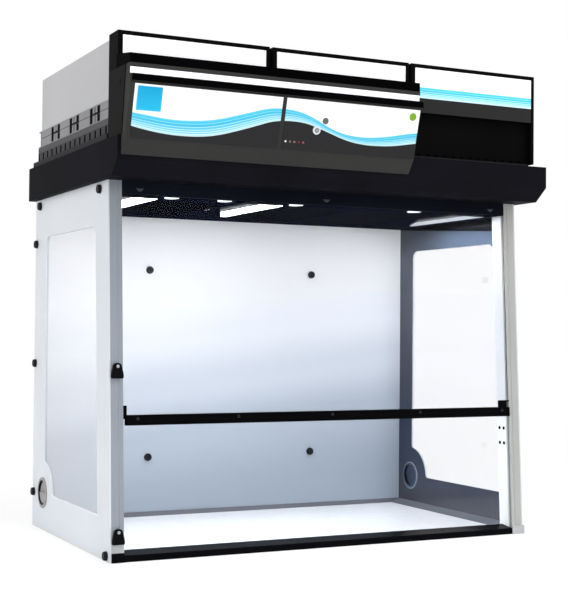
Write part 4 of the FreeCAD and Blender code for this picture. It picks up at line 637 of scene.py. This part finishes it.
@dataclass(frozen=True)
class RingFinish(Finish):
    """Moulded cap with rings round its middle."""

    centre: tuple = (0.0, 0.0, 0.0)
    reach_mm: float = 12.0
    rings: tuple = (
        (0.0, "#6F7981"), (0.12, "#A9B3BA"), (0.24, "#66717A"), (0.37, "#98A3AB"), (0.48, "#57626B"),
        (0.57, "#E6E9EC"))

    def body_colour(self, net: Net, fine: Socket) -> Socket:
        """Colours the cap by the distance from its middle."""
        away = net.vector("DISTANCE", net.place(), self.centre)
        return net.ramp(net.calc("DIVIDE", away, self.reach_mm * MM), self.rings, "CONSTANT")


@dataclass(frozen=True)
class SignalFinish(Finish):
    """Lenses of the fascia's signals, coloured by the share of the way from the left end to the right."""

    left_mm: float = -220.0
    right_mm: float = 180.0
    places: tuple = (
        (0.0, "#F2F2F2"), (0.03625, "#77756F"), (0.068, "#B0626B"), (0.10075, "#7A2C3A"), (0.133, "#C04A5C"),
        (0.175, "#E2E5E8"), (0.2675, "#5E5C60"), (0.4, "#78A800"))

    def body_colour(self, net: Net, fine: Socket) -> Socket:
        """Colours each lens by its place across the fascia."""
        share = net.remap(net.axis("X"), self.left_mm * MM, self.right_mm * MM)
        return net.ramp(share, self.places, "CONSTANT")


LAMP_OPAL = LampFinish("opal lamp cover", "#FAFBFE", "#F5F8FC", 0.35, Texture.POLISHED, 20.0, 0.01, glow=1.0)
# The chamber coat's glow is painted light: it glows a little though it is no lamp
BACK_COAT = BackFinish("white chamber coat", "#EEF1F5", "#E6EAF0", 0.40, Texture.PEEL, 4.0, 0.04,
                       specular=0.3, glow=0.08)
# The visor and rail have a charcoal lip along the rail's lower edge, and the tray is drawn darker above the
# height of its floor, over its upturned walls
VISOR_COAT = StepFinish("deep black coat", "#040405", "#070708", 0.55, Texture.PEEL, 3.0, 0.04,
                        specular=0.004, second="#343432", step_mm=1204.5, which="LESS_THAN")
PORT_MOULDED = PortFinish("warm grey moulded plastic", "#A09C9C", "#93908F", 0.45, specular=0.25)
TRAY_PLASTIC = StepFinish("white tray plastic", "#F2F4F7", "#ECEFF3", 0.22, Texture.POLISHED, 30.0, 0.02,
                          specular=0.4, second="#676A72", step_mm=10.6)
BORDER_FILM = FilmFinish("dark border film", "#262E3F", "#2F384B", 0.12, Texture.POLISHED, 60.0, 0.01,
                         specular=0.35)
# The prints' glow is painted light: it lifts their white, though they are no lamps
PANEL_PRINT = PanelPrint("printed panel film", "#FDFEFF", "#FDFEFF", 0.40, Texture.POLISHED, 40.0, 0.01,
                         specular=0.06, glow=0.28, dark="#272727")
WAVE_PRINT = WavePrint("printed control film", "#FDFEFF", "#FDFEFF", 0.40, Texture.POLISHED, 40.0, 0.01,
                       specular=0.06, glow=0.06)


def stand(name: str, data: bpy.types.ID) -> bpy.types.Object:
    """Makes an object of its data and links it into the scene."""
    made = bpy.data.objects.new(name, data)
    bpy.context.scene.collection.objects.link(made)
    return made


def mesh_data(name: str, mesh: BMesh) -> bpy.types.Mesh:
    """Turns a bmesh into mesh data and frees it."""
    data = bpy.data.meshes.new(name)
    mesh.to_mesh(data)
    mesh.free()
    return data


def pour(one: BMesh, whole: BMesh) -> None:
    """Adds one bmesh to another and frees the one."""
    data = mesh_data("one", one)
    whole.from_mesh(data)
    bpy.data.meshes.remove(data)


def seated(spot: Vector, axis: Vector) -> Matrix:
    """Returns the placing that moves the origin to a spot and turns +Z to an axis."""
    return Matrix.Translation(spot) @ axis.to_track_quat("Z", "Y").to_matrix().to_4x4()


def disc(mesh: BMesh, segments: int, radius_mm: float, height_mm: float, place: Matrix) -> None:
    """Adds a short cylinder.

    Args:
        mesh: The bmesh that it goes into.
        segments: How many sides it has.
        radius_mm: Its radius.
        height_mm: Its height.
        place: Where its middle stands and how it is turned.
    """
    bmesh.ops.create_cone(mesh, cap_ends=True, segments=segments, radius1=radius_mm * MM,
                          radius2=radius_mm * MM, depth=height_mm * MM, matrix=place)


def new_piece(name: str, mesh: BMesh, body: str, finish: Finish,
              smooth_below: float = 32.0) -> bpy.types.Object:
    """Turns a bmesh into a piece of the hood.

    Args:
        name: The piece's name.
        mesh: Its finished bmesh, in metres in the hood's frame; it is freed.
        body: The body that it rides on.
        finish: What it is made of.
        smooth_below: Edges turning less than this many degrees are shaded smooth.

    Returns:
        The new object.
    """
    limit = math.radians(smooth_below)
    for face in mesh.faces:
        face.smooth = True
    for edge in mesh.edges:
        edge.smooth = len(edge.link_faces) == 2 and edge.calc_face_angle(math.pi) < limit
    data = mesh_data(name, mesh)
    data.materials.append(finish.material())
    piece = stand(name, data)
    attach(piece, body)
    LOG.info("%s: %d faces on %s", name, len(data.polygons), body)
    return piece


def dress(node: str, finish: Finish) -> None:
    """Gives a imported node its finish.

    Args:
        node: The node's name.
        finish: What it is made of.
    """
    data = frame["nodes"][node].data
    data.materials.clear()
    data.materials.append(finish.material())


def ease_edges(node: str, width_mm: float, finish: Finish) -> None:
    """Stands a copy of a node in its place, with its sharp edges eased as folding and moulding leave them.

    Args:
        node: The node to copy.
        width_mm: The width of the eased edge.
        finish: What it is made of.
    """
    packed = frame["nodes"][node]
    mesh = bmesh.new()
    mesh.from_mesh(packed.data)
    bmesh.ops.remove_doubles(mesh, verts=mesh.verts, dist=WELD_MM * MM)
    bmesh.ops.dissolve_limit(mesh, angle_limit=math.radians(FLAT_BELOW), verts=mesh.verts, edges=mesh.edges)
    limit = math.radians(SHARP_ABOVE)
    sharp = [edge for edge in mesh.edges if len(edge.link_faces) == 2 and edge.calc_face_angle(0) > limit]
    bmesh.ops.bevel(mesh, geom=sharp, offset=width_mm * MM, segments=2, profile=0.5, affect="EDGES",
                    clamp_overlap=True, material=-1)
    piece = new_piece(f"{node}_eased", mesh, packed["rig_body"], finish)
    piece.modifiers.new("even faces", "WEIGHTED_NORMAL").keep_sharp = True
    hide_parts(node)


@dataclass
class ScrewHeads:
    """Pan-head screws with a round socket, all of one size."""

    radius_mm: float = 4.2
    height_mm: float = 2.2
    socket_mm: float = 1.9
    edge_mm: float = 0.7
    socket_depth: float = 0.6
    sides: int = 20

    def head(self, spot: Vector, axis: Vector) -> BMesh:
        """Makes one head.

        Args:
            spot: The middle of its seat, in metres.
            axis: Which way it faces.

        Returns:
            Its bmesh.
        """
        mesh = bmesh.new()
        lift = Matrix.Translation((0, 0, self.height_mm * MM / 2))
        disc(mesh, self.sides, self.radius_mm, self.height_mm, seated(spot, axis) @ lift)
        bmesh.ops.bevel(mesh, geom=list(self.top(mesh, axis).edges), offset=self.edge_mm * MM, segments=3,
                        profile=0.5, affect="EDGES", material=-1)
        top = self.top(mesh, axis)
        rim = (self.radius_mm - self.edge_mm - self.socket_mm) * MM
        bmesh.ops.inset_region(mesh, faces=[top], thickness=rim)
        bmesh.ops.translate(mesh, verts=top.verts, vec=axis * -self.height_mm * self.socket_depth * MM)
        return mesh

    def top(self, mesh: BMesh, axis: Vector) -> bmesh.types.BMFace:
        """Returns the face of a bmesh that lies furthest along an axis."""
        return max(mesh.faces, key=lambda face: face.calc_center_median().dot(axis))

    def row(self, name: str, spots: list[Vector], axis: Vector) -> None:
        """Makes one piece of several heads.

        Args:
            name: The piece's name.
            spots: The middles of their seats, in metres.
            axis: Which way they face.
        """
        whole = bmesh.new()
        for spot in spots:
            pour(self.head(spot, axis), whole)
        new_piece(name, whole, "hood", SCREW_STEEL)


SMALL_SCREWS = ScrewHeads(3.2, 1.8, 1.5, 0.6)


class Assembly:
    """A sub-assembly: nodes that keep their own mesh, nodes whose edges are eased, and added pieces."""

    plain: dict[str, Finish] = {}
    eased: dict[str, tuple[float, Finish]] = {}

    def add_pieces(self) -> None:
        """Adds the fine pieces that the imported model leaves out."""

    def build(self) -> None:
        """Dresses the nodes, eases edges by their widths in millimetres, and adds the fine pieces."""
        for node, finish in self.plain.items():
            dress(node, finish)
        for node, (width, finish) in self.eased.items():
            ease_edges(node, width, finish)
        self.add_pieces()


@dataclass
class Enclosure(Assembly):
    """The glazed chamber: skins, panes, posts, sill, tray and back."""

    screw_inset_mm: float = 14.0
    rear_rows: int = 5
    rear_columns: int = 4
    # The jambs' four holes, drawn as dark discs set flush in them: painted shade where the holes are
    hole_x_mm: float = 602.0
    hole_radius_mm: float = 5.2
    hole_sides: int = 32
    hole_shade_t_mm: float = 0.8
    holes_mm: tuple = ((-252.1, 308.5), (-231.6, 308.5), (-254.5, 264.5), (-234.0, 264.5))

    plain = {
        "side_panes": SIDE_ACRYLIC, "side_borders": BORDER_FILM, "fixed_pane": CLEAR_ACRYLIC,
        "port_rings": PORT_MOULDED, "port_shutter_left": PORT_MOULDED, "port_shutter_right": PORT_MOULDED,
        "spill_tray": TRAY_PLASTIC, "floor_plate": STEEL_SHEET, "rear_posts": POST_METAL,
        "jambs": JAMB_COAT, "header_clips": CLIP_PLASTIC}
    eased = {
        "side_panel_left": (0.8, WHITE_COAT), "side_panel_right": (0.8, WHITE_COAT),
        "post_left": (0.35, POST_METAL), "post_right": (0.35, POST_LIT_COPY), "post_feet": (0.5, GREY_MOULDED),
        "front_sill": (0.8, GLOSS_BLACK), "back_panel": (0.5, BACK_COAT), "rear_panel": (0.6, WHITE_COAT),
        "header_rail": (0.5, HEADER_COAT)}

    def add_pieces(self) -> None:
        """Adds the screws round the edge of the rear panel and the dark discs of painted shade in the jambs'
        holes.
        """
        low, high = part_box("rear_panel")
        inset = self.screw_inset_mm * MM
        left, right = low.x + inset, high.x - inset
        bottom, top = low.z + inset, high.z - inset
        across = [left + (right - left) * n / self.rear_columns for n in range(self.rear_columns + 1)]
        up = [bottom + (top - bottom) * n / self.rear_rows for n in range(1, self.rear_rows)]
        spots = [Vector((x, high.y, z)) for x in across for z in (bottom, top)]
        spots += [Vector((x, high.y, z)) for z in up for x in (left, right)]
        ScrewHeads().row("rear_panel_screws", spots, Vector((0, 1, 0)))
        mesh = bmesh.new()
        for side in (-1, 1):
            for y_mm, z_mm in self.holes_mm:
                middle = Vector((side * (self.hole_x_mm - self.hole_shade_t_mm / 4), y_mm, z_mm)) * MM
                place = seated(middle, Vector((-side, 0, 0)))
                disc(mesh, self.hole_sides, self.hole_radius_mm, self.hole_shade_t_mm, place)
        new_piece("jamb_hole_shades", mesh, "hood", BLACK_MOULDED)


@dataclass
class ThumbKnobs:
    """Black fluted knobs that hold the panels."""

    # The half section, as radii and heights
    profile_mm: tuple = (
        (11.6, 0.0), (12.2, 0.8), (11.3, 7.9), (10.6, 9.0), (9.5, 9.5), (7.0, 9.5), (6.2, 8.3), (0.0, 8.3))
    flutes: int = 12
    steps: int = 96
    flute_mm: float = 0.9
    flute_from_mm: float = 10.044
    flute_under_mm: float = 9.1
    side_reach_mm: float = 20.0
    smooth_below: float = 50.0

    def knob(self, spot: Vector, axis: Vector) -> BMesh:
        """Makes one knob.

        Args:
            spot: The middle of its seat, in metres.
            axis: Which way it faces.

        Returns:
            Its bmesh.
        """
        one = bmesh.new()
        points = [one.verts.new((radius * MM, 0, height * MM)) for radius, height in self.profile_mm]
        line = [one.edges.new(pair) for pair in zip(points, points[1:])]
        bmesh.ops.spin(one, geom=points + line, cent=(0, 0, 0), axis=(0, 0, 1), angle=2 * math.pi,
                       steps=self.steps, use_merge=True)
        bmesh.ops.remove_doubles(one, verts=one.verts, dist=WELD_MM / 2 * MM)
        bmesh.ops.holes_fill(one, edges=[edge for edge in one.edges if edge.is_boundary])
        for vert in one.verts:
            away = vert.co.xy.length
            if away > self.flute_from_mm * MM and vert.co.z < self.flute_under_mm * MM:
                angle = math.atan2(vert.co.y, vert.co.x)
                dip = max(0.0, math.cos(angle * self.flutes)) ** 2 * self.flute_mm * MM
                bmesh.ops.scale(one, verts=[vert], vec=(1 - dip / away, 1 - dip / away, 1))
        bmesh.ops.recalc_face_normals(one, faces=one.faces)
        bmesh.ops.transform(one, verts=one.verts, matrix=seated(spot, axis))
        return one

    def islands(self) -> list[tuple[Vector, Vector]]:
        """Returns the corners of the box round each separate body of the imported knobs."""
        mesh = bmesh.new()
        mesh.from_mesh(frame["nodes"]["thumb_knobs"].data)
        bmesh.ops.remove_doubles(mesh, verts=mesh.verts, dist=WELD_MM * MM)
        seen, found = set(), []
        for seed in mesh.verts:
            if seed in seen:
                continue
            seen.add(seed)
            stack, island = [seed], []
            while stack:
                vert = stack.pop()
                island.append(vert.co.copy())
                fresh = {edge.other_vert(vert) for edge in vert.link_edges} - seen
                seen |= fresh
                stack.extend(fresh)
            found.append((Vector(map(min, zip(*island))), Vector(map(max, zip(*island)))))
        mesh.free()
        return found

    def build(self) -> None:
        """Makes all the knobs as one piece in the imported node's place, each facing away from its stud."""
        whole = bmesh.new()
        inner_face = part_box("back_panel")[0].y
        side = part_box("side_panel_left")[0].x
        reach = side + self.side_reach_mm * MM
        for low, high in self.islands():
            middle = (low + high) / 2
            if high.x < reach:
                spot, axis = (side, middle.y, middle.z), (-1, 0, 0)
            elif low.x > -reach:
                spot, axis = (-side, middle.y, middle.z), (1, 0, 0)
            else:
                spot, axis = (middle.x, inner_face, middle.z), (0, -1, 0)
            pour(self.knob(Vector(spot), Vector(axis)), whole)
        piece = new_piece("fluted_knobs", whole, "hood", KNOB_PLASTIC, self.smooth_below)
        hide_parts("thumb_knobs")


@dataclass
class Ceiling(Assembly):
    """The dark ceiling with its lamps, intakes and the small half-round glowing patches behind the header,
    which are painted glints.
    """

    # The painted glints: places across, size, taper, stretch back and thickness
    glint_x_mm: tuple = (-454.0, -300.0, -83.0, 303.0)
    glint_radius_mm: float = 20.0
    glint_taper_mm: float = 1.0
    glint_stretch: float = 1.5
    glint_t_mm: float = 1.5
    front_gap_mm: float = 1.5
    steps: int = 24
    screw_x_mm: float = -241.0
    screw_y_mm: tuple = (28.0, 52.0)

    plain = {"ceiling_pan": CEILING_COAT, "prefilters": FIBRE_MAT, "lamps": LAMP_OPAL}

    def half_round(self, mesh: BMesh, middle: Vector) -> None:
        """Adds one half-round glowing patch, a painted glint, flat to the front.

        Args:
            mesh: The bmesh that it goes into.
            middle: The middle of its straight edge on the ceiling's underside, in metres.
        """
        radius, rows = self.glint_radius_mm, []
        for drop, reach in ((0.0, radius), (self.glint_t_mm, radius - self.glint_taper_mm)):
            rows.append([])
            for step in range(self.steps + 1):
                turn = math.pi * step / self.steps
                point = Vector((math.cos(turn) * reach, math.sin(turn) * reach * self.glint_stretch, -drop))
                rows[-1].append(mesh.verts.new(middle + point * MM))
        upper, lower = rows
        mesh.faces.new(upper)
        mesh.faces.new(list(reversed(lower)))
        for number in range(len(upper)):
            after = (number + 1) % len(upper)
            mesh.faces.new([upper[number], lower[number], lower[after], upper[after]])
        bmesh.ops.recalc_face_normals(mesh, faces=mesh.faces)

    def add_pieces(self) -> None:
        """Adds the glowing patches of painted glint and the lamp screws."""
        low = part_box("ceiling_pan")[0]
        mesh = bmesh.new()
        for x_mm in self.glint_x_mm:
            self.half_round(mesh, Vector((x_mm * MM, low.y + self.front_gap_mm * MM, low.z)))
        new_piece("ceiling_glints", mesh, "hood", GLINT_PATCH)
        spots = [Vector((self.screw_x_mm * MM, y_mm * MM, low.z)) for y_mm in self.screw_y_mm]
        SMALL_SCREWS.row("lamp_screws", spots, Vector((0, 0, -1)))


class Sash(Assembly):
    """The sliding sash: pane, handle bar, shoes and screws."""

    plain = {"sash_pane": CLEAR_ACRYLIC, "bar_screws": BLACK_SCREW}
    eased = {"handle_bar": (0.8, BLACK_MOULDED), "sash_shoes": (0.5, BLACK_MOULDED)}


class Catches(Assembly):
    """The two dome-shaped turn catches on the left post, with their screws."""

    plain = {"catch_screws": SCREW_STEEL}
    eased = {"catch_lower": (1.2, CATCH_PLASTIC), "catch_upper": (1.2, CATCH_PLASTIC)}


class Plinth(Assembly):
    """The black plinth with its mains inlet."""

    plain = {"power_inlet": INLET_MOULDED}
    eased = {"plinth": (1.0, PLINTH_COAT)}


@dataclass
class Columns(Assembly):
    """Three filter and fan columns with black front frames."""

    count: int = 3
    screw_inset_mm: float = 12.0
    # How far the core painted black as shade lies inside each node's box, across and along, and over and
    # under it
    case_depth_mm: tuple = (1.2, 1.2)
    base_depth_mm: tuple = (11.5, 17.0)
    core_over_mm: float = 1.0
    # The dark plates behind the front frames' lower slots: painted shade, standing for the dark seen through
    # the slots
    shade_plate_side_mm: float = 3.2
    shade_plate_back_mm: float = 24.9
    shade_plate_t_mm: float = 1.0
    shade_plate_h_mm: float = 12.0

    plain = {
        "impeller_1": FAN_MOULDED, "impeller_2": FAN_MOULDED, "impeller_3": FAN_MOULDED,
        "carbon_filters": CARBON_GRAINS, "fan_motors": MOTOR_METAL, "exhaust_grilles": BOX_COAT,
        "front_panels": PANEL_PRINT}

    def box_screws(self, number: int) -> None:
        """Adds the screws on the rear of a fan box, numbered from 1 at the left."""
        low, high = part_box(f"fan_box_{number}")
        inset = self.screw_inset_mm * MM
        spots = [Vector((x, high.y, z)) for x in (low.x + inset, (low.x + high.x) / 2, high.x - inset)
                 for z in (low.z + inset, high.z - inset)]
        SMALL_SCREWS.row(f"fan_box_{number}_screws", spots, Vector((0, 1, 0)))

    def slot_shade_plates(self) -> None:
        """Adds the dark plates behind the front frames' lower slots, painted shade for what lies in shade
        through them.
        """
        mesh = bmesh.new()
        for number in range(1, self.count + 1):
            low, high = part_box(f"front_frame_{number}")
            size = Vector((high.x - low.x - 2 * self.shade_plate_side_mm * MM, self.shade_plate_t_mm * MM,
                           self.shade_plate_h_mm * MM))
            middle = Vector(((low.x + high.x) / 2, low.y + self.shade_plate_back_mm * MM, low.z + size.z / 2))
            bmesh.ops.create_cube(mesh, size=1.0, matrix=Matrix.LocRotScale(middle, None, size))
        new_piece("slot_shade_plates", mesh, "hood", BLACK_MOULDED)

    def core(self, node: str, depth_mm: tuple[float, float]) -> dict[str, tuple]:
        """Finds what lies deeper than a depth inside a node.

        Args:
            node: The node's name.
            depth_mm: The depth across and along the hood.

        Returns:
            The core's half sizes and its middle, in millimetres, as RecessShadeFinish names them.
        """
        low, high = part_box(node)
        half = (high - low) / 2 / MM
        return {"half_mm": (half.x - depth_mm[0], half.y - depth_mm[1], half.z + self.core_over_mm),
                "middle_mm": tuple((low + high) / 2 / MM)}

    def add_pieces(self) -> None:
        """Eases the columns' casings, with painted shade black between ribs and in slots, and adds screws
        and the dark plates behind the slots.
        """
        for number in range(1, self.count + 1):
            # Each base and case gets painted shade, near black, on its core between the ribs and in the
            # slots
            base = BaseFinish(f"dark grey moulded plastic {number}", "#414143", "#3A3A3C", 0.58,
                              specular=0.06, painted_shade="#0C0C0D",
                              **self.core(f"filter_base_{number}", self.base_depth_mm))
            case = RecessShadeFinish(f"mid grey moulded plastic {number}", "#8E8E8F", "#858587", 0.55,
                             relief_mm=0.06, specular=0.12, painted_shade="#161617",
                             **self.core(f"filter_case_{number}", self.case_depth_mm))
            ease_edges(f"filter_base_{number}", 0.6, base)
            ease_edges(f"filter_case_{number}", 0.6, case)
            ease_edges(f"fan_box_{number}", 0.6, BOX_COAT)
            ease_edges(f"front_frame_{number}", 0.8, FRAME_COAT)
            self.box_screws(number)
        self.slot_shade_plates()


class Fascia(Assembly):
    """The control fascia hung on the two left columns, with its print, button, signals and trims."""

    plain = {"light_bar": LIGHT_PLASTIC, "control_board": BOARD_LACQUER,
             "start_button": RingFinish(
                 "grey button plastic", "#A8ABB0", "#A8ABB0", 0.30, Texture.POLISHED, 8.0, 0.01,
                 centre=tuple(BUTTON_MIDDLE)),
             "fascia_signals": SignalFinish("coloured lens plastic", "#F2F2F2", "#F2F2F2", 0.22,
                                            Texture.POLISHED, 8.0, 0.01, glow=0.08)}
    eased = {"fascia_shell": (0.8, FASCIA_COAT), "fascia_end_plate": (0.4, BLACK_COAT),
             "visor_and_rail": (0.7, VISOR_COAT), "display_panels": (0.5, WAVE_PRINT)}


@dataclass(frozen=True)
class FloorPaint(Finish):
    """Pale paint that is lifted towards white where it is seen."""

    lift: float = 0.8

    def surface(self, net: Net) -> Socket:
        """Mixes the paint with plain white and returns the shader's socket."""
        grain = net.add("TexNoise", {"Vector": net.place(), "Scale": 1 / (self.grain_mm * MM)}).outputs[0]
        paint = net.add("BsdfPrincipled", {
            "Base Color": net.ramp(grain, ((0.3, self.colour), (0.7, self.shade))),
            "Roughness": self.roughness, "Specular IOR Level": self.specular})
        white = net.add("Emission", {"Color": linear("#FFFFFF"), "Strength": 1.0})
        share = net.calc("MULTIPLY", net.seen_directly(), self.lift)
        return net.add("MixShader", {0: share, 1: paint.outputs[0], 2: white.outputs[0]}).outputs[0]


@dataclass
class Studio:
    """Pale floor, soft light and the camera at the photograph's place."""

    camera_spot: tuple = (-1.7234, -3.4770, 0.5914)
    camera_turn: tuple = (91.3706, -0.5021, -26.2636)
    lens_mm: float = 78.641
    sensor_mm: float = 36.0
    sight: float = 200.0
    floor_half: float = 30.0
    ambient: float = 0.80
    behind_panes: float = 0.1
    # Each lamp's strength, how wide it looks, and its turn in degrees
    lamps: tuple = (("key", 1.1, 40.0, (30.0, 0.0, 20.0)), ("fill", 0.45, 60.0, (70.0, 0.0, -75.0)))

    def camera(self) -> None:
        """Places the camera, which stands level with the middle of the chamber to its left."""
        camera = stand("camera", bpy.data.cameras.new("camera"))
        camera.data.lens = self.lens_mm
        camera.data.sensor_width = self.sensor_mm
        camera.data.clip_end = self.sight
        camera.location = self.camera_spot
        camera.rotation_euler = [math.radians(angle) for angle in self.camera_turn]
        bpy.context.scene.camera = camera

    def world(self) -> None:
        """Makes the even surrounding light, white where it is seen."""
        world = bpy.data.worlds.new("studio")
        bpy.context.scene.world = world
        world.use_nodes = True
        net = Net(world.node_tree)
        seen = net.remap(net.seen_directly(), low=self.ambient)
        # Light that a surface gathers through a pane is already counted by the pane's see-through shadow
        path = net.add("LightPath").outputs
        twice = net.calc("MULTIPLY", path["Is Transmission Ray"], path["Diffuse Depth"])
        strength = net.remap(twice, low=seen, high=self.behind_panes)
        light = net.add("Background", {"Color": linear("#FFFFFF"), "Strength": strength})
        net.add("OutputWorld", {"Surface": light.outputs[0]})

    def floor(self) -> None:
        """Makes the pale floor, with the hood's shadow on it."""
        mesh = bmesh.new()
        bmesh.ops.create_grid(mesh, x_segments=1, y_segments=1, size=self.floor_half)
        floor = stand("studio_floor", mesh_data("studio_floor", mesh))
        paint = FloorPaint("pale floor paint", "#F4F4F5", "#F8F8F9", 0.5, grain_mm=25.0, specular=0.2)
        floor.data.materials.append(paint.material())

    def build(self) -> None:
        """Sets the whole stage, with broad soft lamps."""
        bpy.context.scene.view_settings.view_transform = "Standard"
        self.camera()
        self.world()
        self.floor()
        for name, strength, spread, turn in self.lamps:
            lamp = stand(name, bpy.data.lights.new(name, "SUN"))
            lamp.data.energy = strength
            lamp.data.angle = math.radians(spread)
            lamp.rotation_euler = [math.radians(angle) for angle in turn]


def main() -> None:
    """Builds every sub-assembly in order."""
    logging.basicConfig(level=logging.INFO, format="%(message)s")
    for part in (Enclosure, ThumbKnobs, Ceiling, Sash, Catches, Plinth, Columns, Fascia, Studio):
        part().build()
        LOG.info("built %s", part.__name__)


if __name__ == "__main__":
    main()
